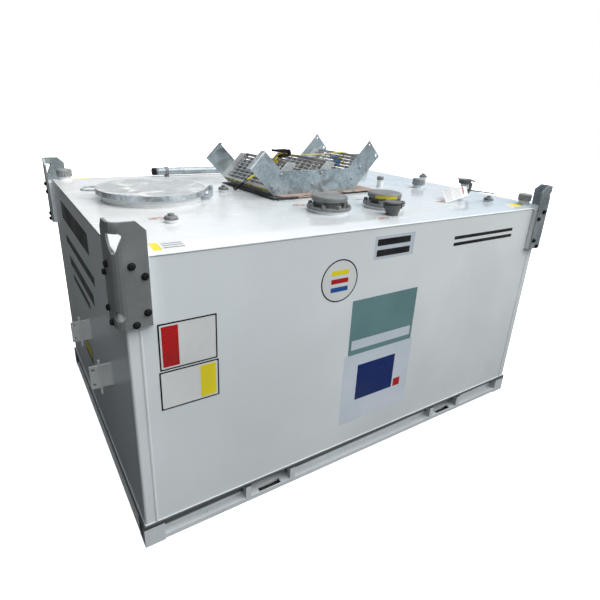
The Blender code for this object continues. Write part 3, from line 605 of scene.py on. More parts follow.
# Bright edges: rubbed zinc where the edges wear, and painted highlight along them too.
edge_wear_and_highlight, takes, give = new_effect("edge wear and highlight", ("Mask",), reach=0.003)
worn_normal = add_step(edge_wear_and_highlight, "ShaderNodeBevel", {"Radius": takes["Reach"]}, samples=4).outputs[0]
flat_normal = add_step(edge_wear_and_highlight, "ShaderNodeNewGeometry").outputs["Normal"]
normals = {0: worn_normal, 1: flat_normal}
agree = add_step(edge_wear_and_highlight, "ShaderNodeVectorMath", normals, operation="DOT_PRODUCT").outputs["Value"]
broken = stretched(edge_wear_and_highlight, clouds(edge_wear_and_highlight, 40, 4), 0.3, 0.6)
give(mask=sums(edge_wear_and_highlight, "MULTIPLY", stretched(edge_wear_and_highlight, agree, 0.999, 0.86), broken))
WORN_AND_HIGHLIT_ZINC = (0.82, 0.86, 0.88)


def galvanised(name, depth, edges, metallic, **film):
    """Dipped zinc of one piece: the depth of its relief, how bright its worn and highlit edges are, and its
    film.
    """
    finish = coated(name, zinc_film, depth, film, Metallic=metallic)
    tree = finish.node_tree
    tint(finish, sums(tree, "MULTIPLY", lay(tree, edge_wear_and_highlight)["Mask"], edges), WORN_AND_HIGHLIT_ZINC)
    return finish


lid_zinc = galvanised(
    "lid_zinc",
    depth=0.0012,
    edges=0.4,
    metallic=0.15,
    color=(0.38, 0.405, 0.415),
    light=(0.64, 0.655, 0.655),
    stain=(0.85, 0.845, 0.82),
    stain_amount=0.9,
    spangle=60.0,
    smooth=0.32,
    rough=0.60,
)
skirt_zinc = galvanised(
    "lid_skirt_zinc",
    depth=0.0015,
    edges=0.6,
    metallic=0.35,
    color=(0.27, 0.32, 0.345),
    light=(0.63, 0.69, 0.715),
    stain=(0.12, 0.13, 0.13),
    stain_amount=0.7,
    spangle=50.0,
    smooth=0.30,
    rough=0.55,
)
LID_RADIUS = 0.337
LID_FLAT = 0.318
LID_STEP = 0.0012
SKIRT_SHEET = 0.0036
LID_SIDES = 144
LID_RINGS = 26
DIPS = (
    (0.12, 0.05, 0.10, 0.0036),
    (-0.14, -0.06, 0.12, 0.0030),
    (0.02, -0.19, 0.07, 0.0022),
    (-0.05, 0.20, 0.08, 0.0024),
)
lid_low, lid_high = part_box("manway_lid")
skirt_foot = lid_low.z - lid_high.z


def lid_dent(x, y):
    """How far the lid's sheet is pushed down at a place, by its dips (x, y, reach, depth) and its ripple."""
    depth = sum(deep * exp(-((x - a) ** 2 + (y - b) ** 2) / reach**2) for a, b, reach, deep in DIPS)
    ripple = noise.noise(Vector((x * 9, y * 9, 3.1))) + 0.5 * noise.noise(Vector((x * 22, y * 22, 7.7)))
    return 0.0008 + depth + 0.0007 * ripple


rim = [(LID_FLAT, 0.0), (0.3225, 0.0), (0.3265, LID_STEP), (LID_RADIUS, LID_STEP), (LID_RADIUS, skirt_foot)]
profile = [(LID_FLAT * step / LID_RINGS, None) for step in range(LID_RINGS + 1)]
profile += [(radius, height - LID_STEP) for radius, height in eased(rim, 0.003, 3, closed=False)[1:]]
profile += [(LID_RADIUS - SKIRT_SHEET, skirt_foot), (LID_RADIUS - SKIRT_SHEET, -0.0050), (0, -0.0075)]
lid = bmesh.new()
rings = []
for radius, height in profile:
    ring = []
    for step in range(LID_SIDES if radius else 1):
        angle = 2 * pi * step / LID_SIDES
        x, y, level = radius * cos(angle), radius * sin(angle), height
        if height is None:
            fade = min(1.0, max(0.0, (LID_FLAT - radius) / 0.03))
            level = -LID_STEP - lid_dent(x, y) * fade
        elif radius > 0.33 and height < -0.006:
            push = 0.0012 * noise.noise(Vector((x * 14, y * 14, height * 30)))
            x, y = x * (1 - abs(push) * 2), y * (1 - abs(push) * 2)
        ring.append(lid.verts.new((manway_centre.x + x, manway_centre.y + y, lid_high.z + level)))
    rings.append(ring)


def on_skirt(point):
    """Whether a point of the lid lies on its skirt."""
    return (point - manway_centre).xy.length > LID_RADIUS - 0.004 and point.z < lid_high.z - 0.003


for face in join_rings(lid, rings):
    face.material_index = int(all(on_skirt(corner.co) for corner in face.verts))
add_piece(
    "lid_sheet",
    lid,
    lid_zinc,
    body="lid",
    stands_for=("manway_lid",),
    sharp=50,
    more=(skirt_zinc,),
)
dress(skirt_zinc, "lid_handle", "lid_hinge_eye", "hinge_ears")
soften(frame["nodes"]["lid_hinge_eye"], 0.0015)
soften(frame["nodes"]["hinge_ears"], 0.0015)

# Whiter than the wall paint: painted light on the neck in the lid's shade and on the shaded collars and pads;
# the sockets and pipes share it.
neck_paint = painted(
    "neck_paint",
    depth=0.003,
    coat=0.3,
    color=(0.90, 0.93, 0.945),
    shade=(0.84, 0.88, 0.90),
    dirt=(0.40, 0.38, 0.35),
    dirt_amount=0.4,
    streaks=0.08,
    smooth=0.22,
    rough=0.45,
)
NECK_RADIUS = 0.308
NECK_SHEET = 0.005
manway_place = Matrix.Translation((manway_centre.x, manway_centre.y, 0))
bore = NECK_RADIUS - NECK_SHEET
neck_profile = [(bore, neck_low.z), (NECK_RADIUS, neck_low.z)]
neck_profile += [(NECK_RADIUS, neck_high.z), (bore, neck_high.z)]
neck = bmesh.new()
turned(neck, eased(neck_profile, 0.0015), manway_place, sides=128, wall=True)
add_piece("neck_ring", neck, neck_paint, stands_for=("manway_neck",))

zinc_bolt = galvanised(
    "small_bolt_zinc",
    depth=0.0005,
    edges=0.4,
    metallic=0.5,
    color=(0.20, 0.22, 0.225),
    light=(0.40, 0.42, 0.425),
    stain=(0.20, 0.17, 0.14),
    stain_amount=0.3,
    spangle=300.0,
    smooth=0.28,
    rough=0.5,
)
PIN_HEAD = [(0, 0), (0.0135, 0), (0.0135, 0.0022), (0.0095, 0.0024)]
PIN_HEAD += [(0.0095, 0.0075), (0.0065, 0.0085), (0, 0.0085)]
PIN_HEAD_REACH = 0.0227
hinge = frame["joints"][0]
pin_axis, up = Vector(hinge["axis"]), Vector((0, 0, 1))
pin_place = Matrix((up.cross(pin_axis), up, pin_axis)).transposed().to_4x4()
pin_place.translation = hinge["pos_m"]
pin = bmesh.new()
for flip in (0, pi):
    end = pin_place @ Matrix.Rotation(flip, 4, "X") @ Matrix.Translation((0, 0, PIN_HEAD_REACH))
    turned(pin, eased(PIN_HEAD, 0.0008, 2, closed=False), end, sides=28)
add_piece("hinge_pin_heads", pin, zinc_bolt)
neck_weld = bmesh.new()
ring_bead(neck_weld, manway_centre, NECK_RADIUS, roof_high.z)
add_piece("neck_weld", neck_weld, roof_paint)


# Corner brackets: a folded angle on each corner for lifting and stacking, bolted through a welded pad.
# 12 mm galvanised plate with a cut lifting hole; black hexagon bolts, four to a leg.
dark_zinc = galvanised(
    "bracket_dark_zinc",
    depth=0.0009,
    edges=0.5,
    metallic=0.35,
    color=(0.225, 0.242, 0.243),
    light=(0.275, 0.293, 0.294),
    stain=(0.34, 0.355, 0.355),
    stain_amount=0.25,
    spangle=140.0,
    smooth=0.36,
    rough=0.60,
)
light_zinc = galvanised(
    "bracket_light_zinc",
    depth=0.0016,
    edges=0.6,
    metallic=0.45,
    color=(0.19, 0.225, 0.245),
    light=(0.39, 0.44, 0.465),
    stain=(0.60, 0.635, 0.65),
    stain_amount=0.4,
    spangle=110.0,
    smooth=0.32,
    rough=0.60,
)
grit_film, takes, give = new_effect(
    "cast grit",
    ("Color", "Roughness", "Height"),
    color=(0.1, 0.1, 0.1),
    light=(0.2, 0.2, 0.2),
    rust=(0.2, 0.1, 0.05),
    rust_amount=0.0,
    grain=220.0,
)
grains = clouds(grit_film, takes["Grain"])
patches = clouds(grit_film, 16, 6, distortion=0.5)
tone = sums(grit_film, "MULTIPLY_ADD", grains, 0.45, sums(grit_film, "MULTIPLY", patches, 0.6))
grit = mixed(grit_film, stretched(grit_film, tone, 0.36, 0.70), takes["Color"], takes["Light"])
rust_spots = stretched(grit_film, clouds(grit_film, 30, 7), 0.56, 0.70)
rust_mask = sums(grit_film, "MULTIPLY", rust_spots, takes["Rust Amount"])
give(
    color=mixed(grit_film, rust_mask, grit, takes["Rust"]),
    roughness=stretched(grit_film, tone, 0.3, 0.75, 0.42, 0.72),
    height=sums(grit_film, "MULTIPLY_ADD", patches, 0.5, grains),
)
oxide = {"color": (0.006, 0.006, 0.007), "light": (0.022, 0.022, 0.024)}
black_oxide = coated("black_bolt_oxide", grit_film, 0.0003, oxide, Metallic=0.0, Specular_IOR_Level=0.12)


def bolt_head(shape, place, size=0.0125, height=0.010, washer=0.017, washer_height=0.003):
    """Adds a flanged hexagon head that stands along Z of its place."""
    flange = [(0, 0), (washer, 0), (washer, washer_height), (size, washer_height + 0.001)]
    turned(shape, eased(flange, 0.001, 2, closed=False), place, sides=28)
    rim = washer_height + height
    hexagon = [(size * 1.12, washer_height), (size * 1.12, rim - height * 0.25), (size * 0.94, rim)]
    turned(shape, hexagon + [(size * 0.5, rim + 0.0012), (0, rim + 0.0014)], place, sides=6)


BOLTS = ((0.079, 1.575), (0.130, 1.525), (0.130, 1.360), (0.079, 1.310))
PAD_SEAM = {"width": 0.012, "height": 0.006}
SEAM_OFF = 0.006
for corner in ("front_left", "front_right", "back_left", "back_right"):
    bracket, pad = f"corner_bracket_{corner}", f"bracket_pad_{corner}"
    dress(dark_zinc if corner == "front_left" else light_zinc, bracket)
    dress(neck_paint, pad)
    soften(frame["nodes"][bracket], 0.0015)
    soften(frame["nodes"][pad], 0.002)
    low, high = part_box(bracket)
    pad_low, pad_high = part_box(pad)
    side_x, side_y = (1 if "right" in corner else -1), (1 if "back" in corner else -1)
    face_x, end_x, wall_x = low.x, pad_high.x, roof_low.x
    if side_x > 0:
        face_x, end_x, wall_x = high.x, pad_low.x, roof_high.x
    face_y, end_y, wall_y = low.y, pad_high.y, -roof_high.y
    if side_y > 0:
        face_y, end_y, wall_y = high.y, pad_low.y, roof_high.y
    pad_weld = bmesh.new()
    for x, y, outward, seed in (
        (end_x, wall_y + side_y * SEAM_OFF, (-side_x * 0.8, side_y * 0.6, 0), 61),
        (wall_x + side_x * SEAM_OFF, end_y, (side_x * 0.6, -side_y * 0.8, 0), 62),
    ):
        straight_bead(pad_weld, (x, y, pad_low.z), (x, y, pad_high.z), outward, seed=seed, **PAD_SEAM)
    add_piece(f"pad_weld_{corner}", pad_weld, neck_paint)
    heads = bmesh.new()
    for index, (offset, height) in enumerate(BOLTS):
        across = Matrix.Rotation(-side_y * pi / 2, 4, "X") @ Matrix.Rotation(0.4 * index, 4, "Z")
        bolt_head(heads, Matrix.Translation((face_x - side_x * offset, face_y, height)) @ across)
        along = Matrix.Rotation(side_x * pi / 2, 4, "Y") @ Matrix.Rotation(0.3 + 0.5 * index, 4, "Z")
        bolt_head(heads, Matrix.Translation((face_x, face_y - side_y * offset, height)) @ along)
    add_piece(f"bracket_bolts_{corner}", heads, black_oxide)


# Emergency vents: two long-bolted relief caps on flanges, each on a white collar welded to the roof.
# Grey cast iron caps; the cap lifts on its guide posts when the tank overheats.
def stand(node):
    """Where a fitting of the roof stands: its upright place, its middle, its foot and its top."""
    low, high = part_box(node)
    centre = (low + high) / 2
    return Matrix.Translation((centre.x, centre.y, 0)), centre, low.z, high.z


def speckled(name, scale, detail, first, second, rough, depth, span=(0, 1)):
    """A plain finish of two near colours in small patches."""
    finish, tree, shader = new_finish(name)
    patches = clouds(tree, scale, detail)
    colour = mixed(tree, stretched(tree, patches, *span), first, second)
    feed_shader(tree, shader, colour, stretched(tree, patches, 0.3, 0.7, *rough), patches, depth)
    return finish


vent_grit = {
    "color": (0.135, 0.145, 0.148),
    "light": (0.27, 0.285, 0.288),
    "rust": (0.16, 0.11, 0.08),
    "rust_amount": 0.25,
    "grain": 180.0,
}
vent_iron = coated("vent_cast_iron", grit_film, 0.0010, vent_grit, Metallic=0.15)
VENT_BOLTS = 8
VENT_POSTS = 4
FLANGE_RADIUS = 0.140
FLANGE_SEAT = 0.003
BOLT_CIRCLE = 0.124
POST_CIRCLE = 0.100
BODY_RADIUS = 0.088
CAP_RADIUS = 0.113
COLLAR_RADIUS = 0.130
for end in ("left", "right"):
    place, centre, foot, top = stand(f"emergency_vent_{end}")
    foot -= FLANGE_SEAT
    vent = bmesh.new()
    flange = [(0.086, foot), (FLANGE_RADIUS, foot), (FLANGE_RADIUS, foot + 0.015), (0.086, foot + 0.0155)]
    turned(vent, eased(flange, 0.0022), place, sides=96, wall=True)
    body = [(0, foot + 0.0004), (BODY_RADIUS, foot + 0.0004), (BODY_RADIUS, top - 0.036), (0, top - 0.035)]
    turned(vent, eased(body, 0.002, closed=False), place, sides=72)
    cap = [(0, top - 0.038), (0.104, top - 0.038), (CAP_RADIUS - 0.001, top - 0.035)]
    cap += [(CAP_RADIUS, top - 0.009), (0.104, top - 0.0030), (0.05, top - 0.0008), (0, top)]
    turned(vent, eased(cap, 0.003, closed=False), place, sides=96)
    post = [(0, foot + 0.012), (0.0080, foot + 0.012), (0.0080, top - 0.036), (0, top - 0.036)]
    for number in range(VENT_POSTS):
        round_axis = place @ Matrix.Rotation(2 * pi * (number + 0.35) / VENT_POSTS, 4, "Z")
        turned(vent, post, round_axis @ Matrix.Translation((POST_CIRCLE, 0, 0)), sides=16)
    add_piece(f"vent_cap_{end}", vent, vent_iron, stands_for=(f"emergency_vent_{end}",))
    nuts = bmesh.new()
    for number in range(VENT_BOLTS):
        round_axis = place @ Matrix.Rotation(2 * pi * (number + 0.85) / VENT_BOLTS, 4, "Z")
        spot = round_axis @ Matrix.Translation((BOLT_CIRCLE, 0, foot + 0.0148))
        nut_turn = Matrix.Rotation(0.7 * number, 4, "Z")
        bolt_head(nuts, spot @ nut_turn, size=0.0120, height=0.016, washer=0.0155, washer_height=0.003)
    add_piece(f"vent_nuts_{end}", nuts, vent_iron)
    collar_node = f"vent_collar_{end}"
    collar_foot, collar_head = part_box(collar_node)[0].z, foot - 0.0004
    collar = bmesh.new()
    collar_profile = [(0, collar_foot), (COLLAR_RADIUS, collar_foot), (COLLAR_RADIUS - 0.001, collar_head)]
    turned(collar, eased(collar_profile + [(0, collar_head)], 0.002, closed=False), place, sides=96)
    add_piece(f"vent_collar_ring_{end}", collar, neck_paint, stands_for=(collar_node,))
    collar_weld = bmesh.new()
    ring_bead(collar_weld, centre, COLLAR_RADIUS, roof_high.z, width=0.008, height=0.004, seed=5)
    add_piece(f"vent_collar_weld_{end}", collar_weld, roof_paint)

LABEL_TURN, LABEL_SWEEP, LABEL_STEPS = radians(196), radians(76), 24
LABEL_DEPTHS = (0.033, 0.013)
label_yellow = speckled(
    "cap_label_yellow", 60, 4, (0.78, 0.66, 0.02), (0.58, 0.49, 0.04), (0.3, 0.6), 0.0003, span=(0.45, 0.7)
)
band = bmesh.new()
rows = []
for step in range(LABEL_STEPS + 1):
    angle = LABEL_TURN + LABEL_SWEEP * step / LABEL_STEPS
    reach = CAP_RADIUS + 0.0007
    x, y = centre.x + reach * cos(angle), centre.y + reach * sin(angle)
    rows.append([band.verts.new((x, y, top - depth)) for depth in LABEL_DEPTHS])
join_rows(band, rows)
add_piece("vent_cap_label", band, label_yellow)


# Fill coupling and level gauge: screwed into sockets of the roof, near its front edge and right end.
# A dark cast coupling with a lever cap; the gauge is a dial head on a white pipe, and a float rod and a
# stiff card tied on by wire lie beside it.
def block(shape, place, size, ease=0.0):
    """Adds a box of a size round its place, with eased edges."""
    made = bmesh.ops.create_cube(shape, size=1.0, matrix=place @ Matrix.Diagonal((*size, 1)))
    if ease:
        edges = list({edge for vert in made["verts"] for edge in vert.link_edges})
        bmesh.ops.bevel(shape, geom=edges, offset=ease, segments=2, affect="EDGES", profile=0.5)


def fill_outline(shape, loops):
    """Fills an outline, less its holes, with faces, and returns them and their corners."""
    ring, edges = [], []
    for loop in loops:
        corners = [shape.verts.new(point) for point in loop]
        edges += [shape.edges.new(pair) for pair in zip(corners, corners[1:] + corners[:1])]
        ring += corners
    filled = bmesh.ops.triangle_fill(shape, edges=edges, use_beauty=True)
    return [item for item in filled["geom"] if isinstance(item, bmesh.types.BMFace)], ring


def plate(shape, outline, low, high, place, holes=()):
    """Adds a flat plate drawn in X and Z of its place, from low to high along Y."""
    loops = [[place @ Vector((x, low, z)) for x, z in loop] for loop in (outline, *holes)]
    thicken(shape, fill_outline(shape, loops)[0], place.to_3x3() @ Vector((0, high - low, 0)))


def wire(shape, route, radius, place=Matrix.Identity(4), sides=10):
    """Adds a round wire along a route."""
    points = [place @ Vector(point) for point in route]
    side = Vector((0, 0, 1))
    rings = []
    for index, point in enumerate(points):
        ahead, behind = points[min(index + 1, len(points) - 1)], points[max(index - 1, 0)]
        direction = (ahead - behind).normalized()
        if abs(direction.dot(side)) < 0.98:
            side = (side - direction * side.dot(direction)).normalized()
        else:
            side = direction.orthogonal().normalized()
        other = direction.cross(side)
        angles = [2 * pi * step / sides for step in range(sides)]
        ring = [point + side * cos(angle) * radius + other * sin(angle) * radius for angle in angles]
        rings.append([shape.verts.new(corner) for corner in ring])
    join_rings(shape, rings)
    shape.faces.new(rings[0])
    shape.faces.new(rings[-1])


fitting_grit = {
    "color": (0.075, 0.082, 0.083),
    "light": (0.165, 0.175, 0.173),
    "rust": (0.13, 0.10, 0.08),
    "rust_amount": 0.3,
    "grain": 240.0,
}
fitting_iron = coated("fitting_dark_iron", grit_film, 0.0006, fitting_grit, Metallic=0.15)
FITTING_TURN = Matrix.Rotation(radians(-33), 4, "Z")
place, _, foot, top = stand("fill_fitting")
fill_profile = [(0, foot), (0.040, foot), (0.040, foot + 0.018), (0.046, foot + 0.021), (0.046, foot + 0.034)]
fill_profile += [(0.050, foot + 0.037), (0.051, top - 0.022), (0.048, top - 0.019), (0.040, top - 0.018)]
fill_profile += [(0.040, top - 0.011), (0.054, top - 0.011), (0.054, top - 0.003), (0.048, top), (0, top)]
fill = bmesh.new()
turned(fill, eased(fill_profile, 0.0014, 2, closed=False), place, sides=64)
for side in (-1, 1):
    lever, ear = (side * 0.060, 0, top - 0.0065), (side * 0.0545, 0, top - 0.026)
    block(fill, place @ FITTING_TURN @ Matrix.Translation(lever), (0.030, 0.024, 0.007), 0.0015)
    block(fill, place @ FITTING_TURN @ Matrix.Translation(ear), (0.008, 0.016, 0.032), 0.0015)
add_piece("fill_coupling", fill, fitting_iron, stands_for=("fill_fitting",))

place, centre, foot, top = stand("level_gauge")
turn = place @ FITTING_TURN
head_foot = top - 0.036
gauge_pipe = bmesh.new()
pipe_profile = [(0, foot), (0.036, foot), (0.036, foot + 0.012), (0.030, foot + 0.013)]
pipe_profile += [(0.030, head_foot), (0, head_foot)]
turned(gauge_pipe, eased(pipe_profile, 0.002, closed=False), place)
add_piece("gauge_pipe", gauge_pipe, neck_paint, stands_for=("level_gauge",))
gauge = bmesh.new()
gauge_profile = [(0, head_foot), (0.038, head_foot), (0.044, top - 0.032), (0.048, top - 0.030)]
gauge_profile += [(0.048, top - 0.008), (0.044, top - 0.004), (0, top - 0.004)]
turned(gauge, eased(gauge_profile, 0.002, 2, closed=False), place, sides=64)
block(gauge, turn @ Matrix.Translation((0.004, 0, top - 0.0045)), (0.100, 0.100, 0.009), 0.003)
lip = turn @ Matrix.Translation((0.060, 0, top - 0.010)) @ Matrix.Rotation(radians(8), 4, "Y")
block(gauge, lip, (0.026, 0.060, 0.010), 0.002)
lever = [(0.026, -0.030), (0.052, -0.024), (0.050, -0.060), (0.036, -0.105), (0.030, -0.105)]
plate(gauge, eased([(x, top + z) for x, z in lever], 0.003), -0.034, -0.018, turn)
add_piece("gauge_head", gauge, fitting_iron, stands_for=("level_gauge",))

tag_paper = speckled("gauge_tag_card", 50, 5, (0.86, 0.87, 0.87), (0.74, 0.75, 0.75), (0.4, 0.7), 0.0005)
tag_red = speckled("gauge_tag_red", 70, 5, (0.52, 0.02, 0.03), (0.36, 0.03, 0.04), (0.4, 0.7), 0.0003)
card_ink = speckled(
    "card_print_grey", 120, 3, (0.36, 0.37, 0.38), (0.60, 0.61, 0.62), (0.5, 0.7), 0.0002, span=(0.4, 0.6)
)
FOOT_RIGHT, HEAD_RIGHT = Vector((1.112, -0.745, 1.6485)), Vector((1.203, -0.641, 1.703))
FOOT_LEFT, HEAD_LEFT = Vector((0.853, -0.762, 1.6165)), Vector((0.970, -0.611, 1.671))
CARD_STEPS = 14
CARD_ROWS = 4
LINE_RISES = [(0.10 + 0.115 * line, 0.135 + 0.115 * line) for line in range(8)]
card_face = (FOOT_LEFT - FOOT_RIGHT).cross(HEAD_RIGHT - FOOT_RIGHT).normalized()
card_face = card_face if card_face.z > 0 else -card_face


def card_spot(share, rise, off=0.0):
    """A place on the curled card: its share of the way to the left, and from foot to head."""
    flat = FOOT_RIGHT.lerp(FOOT_LEFT, share).lerp(HEAD_RIGHT.lerp(HEAD_LEFT, share), rise)
    curl = 0.010 * sin(share * pi) * rise + 0.004 * sin(rise * pi)
    return flat + card_face * (curl + off)


def card_strip(shape, first, last, rises, off=0.0):
    """Adds a strip that follows the card between two shares, at each pair of rises."""
    for foot_rise, head_rise in rises:
        levels = [foot_rise + (head_rise - foot_rise) * row / CARD_ROWS for row in range(CARD_ROWS + 1)]
        shares = [first + (last - first) * step / CARD_STEPS for step in range(CARD_STEPS + 1)]
        rows = [[shape.verts.new(card_spot(share, level, off)) for level in levels] for share in shares]
        join_rows(shape, rows)


card = bmesh.new()
card_strip(card, 0.0, 1.0, [(0.0, 1.0)])
thicken(card, card.faces[:], card_face * -0.0006)
add_piece("gauge_card", card, tag_paper)
stripe = bmesh.new()
card_strip(stripe, 0.16, 0.215, [(0.28, 0.94)], 0.0004)
add_piece("gauge_card_stripe", stripe, tag_red)
lines = bmesh.new()
card_strip(lines, 0.30, 0.60, LINE_RISES, 0.0005)
card_strip(lines, 0.66, 0.94, LINE_RISES, 0.0005)
add_piece("gauge_card_lines", lines, card_ink)
card_hole = card_spot(0.05, 0.93)
slack = card_hole.lerp(centre, 0.4) + Vector((0, 0, 0.006))
gauge_neck = turn @ Vector((0.010, -0.026, top - 0.040))
tie = bmesh.new()
wire(tie, [card_hole - card_face * 0.004, card_hole + card_face * 0.004, slack, gauge_neck], 0.0012, sides=8)
add_piece("gauge_card_tie", tie, fitting_iron)

ROD_START, ROD_END = Vector((1.262, -0.618, 1.6665)), Vector((1.4864, -0.705, 1.640))
rod_reach = ROD_END - ROD_START
rod_length = rod_reach.length
rod_place = Matrix.Translation(ROD_START) @ rod_reach.to_track_quat("Z", "Y").to_matrix().to_4x4()
rod_profile = [(0, -0.012), (0.0095, -0.012), (0.0095, 0.030), (0.0050, 0.033)]
rod_profile += [(0.0045, rod_length - 0.002), (0.0035, rod_length), (0, rod_length)]
float_rod = bmesh.new()
turned(float_rod, rod_profile, rod_place, sides=16)
add_piece("gauge_float_rod", float_rod, fitting_iron)


# Socket plugs: four steel half-sockets welded to the roof, each closed by a screwed plug.
# White taper sockets; grey malleable iron plugs with a square head, each on a dark seal.
PLUG_HEIGHT = 0.034
DOME = [(0, 0.003), (0.0345, 0.003), (0.0345, 0.010), (0.030, 0.016), (0.021, 0.018), (0, 0.0185)]
for number in range(1, 5):
    plug_node = f"socket_plug_{number}"
    place, _, foot, top = stand(plug_node)
    top -= PLUG_HEIGHT
    seat = top - 0.001
    socket = bmesh.new()
    taper = [(0, foot), (0.031, foot), (0.035, seat), (0, seat)]
    turned(socket, eased(taper, 0.0015, closed=False), place, sides=48)
    add_piece(f"plug_socket_{number}", socket, neck_paint, stands_for=(plug_node,))
    plug = bmesh.new()
    seal = [(0, seat), (0.039, seat), (0.0395, top + 0.003), (0, top + 0.003)]
    turned(plug, eased(seal, 0.001, 2, closed=False), place, sides=48)
    dome = eased([(radius, top + height) for radius, height in DOME], 0.002, 2, closed=False)
    turned(plug, dome, place, sides=48, ribs=8, rib_depth=0.003, rib_span=(top + 0.0045, top + 0.014))
    head = place @ Matrix.Rotation(0.5 * number, 4, "Z") @ Matrix.Translation((0, 0, top + 0.0235))
    block(plug, head, (0.026, 0.026, 0.012), 0.0022)
    for face in plug.faces:
        face.material_index = int(face.calc_center_median().z > top + 0.0029)
    add_piece(
        f"plug_cap_{number}", plug, fitting_iron, stands_for=(plug_node,), more=(vent_iron,)
    )


# Risers: four short pipes welded into the roof and closed by ribbed screw caps.
# White painted pipe; grey cast aluminium caps with ribs for the hand.
cap_grit = {
    "color": (0.20, 0.215, 0.22),
    "light": (0.40, 0.42, 0.425),
    "rust": (0.10, 0.09, 0.08),
    "rust_amount": 0.4,
    "grain": 160.0,
}
cap_alloy = coated("cap_cast_alloy", grit_film, 0.0006, cap_grit, Metallic=0.25)
RISERS = {"tall": (0.026, 0.029), "middle": (0.044, 0.053), "right": (0.040, 0.048), "left": (0.044, 0.053)}
RIB_STEPS = 6
for name, (pipe_radius, cap_radius) in RISERS.items():
    place, centre, foot, top = stand(f"riser_cap_{name}")
    neck_top = top - cap_radius - 0.002
    cap_foot = neck_top + 0.002
    riser_node = (f"riser_cap_{name}",)
    pipe = bmesh.new()
    pipe_profile = [(0, foot), (pipe_radius, foot), (pipe_radius, neck_top + 0.004), (0, neck_top + 0.004)]
    turned(pipe, pipe_profile, place)
    add_piece(f"riser_pipe_{name}", pipe, neck_paint, stands_for=riser_node)
    cap = bmesh.new()
    cap_profile = [(0, neck_top), (cap_radius, cap_foot)]
    for step in range(1, RIB_STEPS + 1):
        cap_profile.append((cap_radius, cap_foot + (top - 0.010 - neck_top) * step / RIB_STEPS))
    cap_profile += [(cap_radius - 0.004, top - 0.003), (cap_radius - 0.010, top), (0, top - 0.001)]
    ribbed = (neck_top + 0.004, top - 0.006)
    turned(cap, cap_profile, place, sides=144, ribs=18, rib_depth=0.0035, rib_span=ribbed)
    add_piece(f"riser_lid_{name}", cap, cap_alloy, stands_for=riser_node)
    foot_weld = bmesh.new()
    ring_bead(foot_weld, centre, pipe_radius, roof_high.z, width=0.008, height=0.004, seed=7)
    add_piece(f"riser_weld_{name}", foot_weld, roof_paint)


# Stair brackets: two plate ears on the left end wall, each with a rod that may carry the stair in use.
# Welded to the wall and painted a little darker than it.
ear_paint = painted(
    "ear_paint",
    depth=0.002,
    coat=0.2,
    color=(0.80, 0.82, 0.82),
    shade=(0.66, 0.68, 0.68),
    dirt=(0.24, 0.22, 0.20),
    dirt_amount=0.3,
    streaks=0.08,
    smooth=0.25,
    rough=0.5,
)
EAR_BOTTOM, EAR_TOP = 0.735, 0.872
EAR_PLATE = 0.010
ear_welds = bmesh.new()
for end in ("front", "back"):
    ear = f"stair_bracket_{end}"
    dress(ear_paint, ear)
    soften(frame["nodes"][ear], 0.0012)
    low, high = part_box(ear)
    for side in (-1, 1):
        edge = (low.y + EAR_PLATE + high.y) / 2 + side * EAR_PLATE / 2
        foot, head = (high.x, edge, EAR_BOTTOM), (high.x, edge, EAR_TOP)
        straight_bead(ear_welds, foot, head, (-1, side, 0), seed=51 + side, **FOOT_SEAM)
add_piece("ear_welds", ear_welds, wall_paint)


# Stair: two side plates with three grating treads, unbolted from the wall and stowed on the roof.
# Hot-dipped galvanised plate and bar grating, bolted together in pairs; one tread has a yellow nosing and
# one has blue and yellow tapes.
stair_zinc = galvanised(
    "stair_zinc",
    depth=0.0016,
    edges=0.8,
    metallic=0.45,
    color=(0.235, 0.295, 0.325),
    light=(0.44, 0.515, 0.55),
    stain=(0.10, 0.10, 0.10),
    stain_amount=0.8,
    spangle=75.0,
    smooth=0.30,
    rough=0.58,
)
# A lighter copy of the stair zinc: painted highlight on the outer face of the front side plate's folded lip.
lip_highlight_zinc = galvanised(
    "stair_lip_painted_highlight",
    depth=0.0010,
    edges=0.5,
    metallic=0.3,
    color=(0.40, 0.44, 0.46),
    light=(0.74, 0.78, 0.80),
    stain=(0.30, 0.31, 0.31),
    stain_amount=0.5,
    spangle=60.0,
    smooth=0.25,
    rough=0.50,
)
# Its bright bar edges are painted highlight as well as wear.
grating_zinc = galvanised(
    "grating_zinc",
    depth=0.0008,
    edges=1.0,
    metallic=0.2,
    color=(0.33, 0.355, 0.365),
    light=(0.66, 0.69, 0.70),
    stain=(0.20, 0.20, 0.19),
    stain_amount=0.5,
    spangle=160.0,
    smooth=0.30,
    rough=0.55,
)
STAIR_FOOT = Vector((-0.25965, -0.195, 1.630))
STAIR_WIDTH = 0.660
PLATE = 0.006
DEPTH = 0.165
RUN = 0.745
SLOPE = 1 / sqrt(2)
LEFT_ARM, RIGHT_ARM = 0.265, 0.350
LEFT_DEPTH, RIGHT_DEPTH = 0.159, 0.167
FOLD = 0.008
FOLD_STEPS = 4
LIP_WIDTH = 0.050
HOLES = ((0.878, 0.336, 0.0075), (0.956, 0.255, 0.010), (0.786, 0.116, 0.006), (0.73, 0.031, 0.006))
BOLT_PAIRS = ((0.058, 0.140), (-0.017, 0.063), (0.412, 0.140), (0.333, 0.063), (0.793, 0.167), (0.715, 0.086))
stair_place = Matrix.Translation(STAIR_FOOT) @ Matrix.Rotation(radians(3.5), 4, "Z")


def left_arm(along, across):
    """A place on the left arm of the side plate: along it from its root corner, and across its depth."""
    return ((across - along) * SLOPE, (across + along) * SLOPE)


def right_arm(along, across):
    """The same on the right arm."""
    return (RUN + (along - across) * SLOPE, (across + along) * SLOPE)


def round_hole(centre, radius, sides=16):
    """Points round a hole."""
    angles = [2 * pi * step / sides for step in range(sides)]
    return [(centre[0] + radius * cos(angle), centre[1] + radius * sin(angle)) for angle in angles]


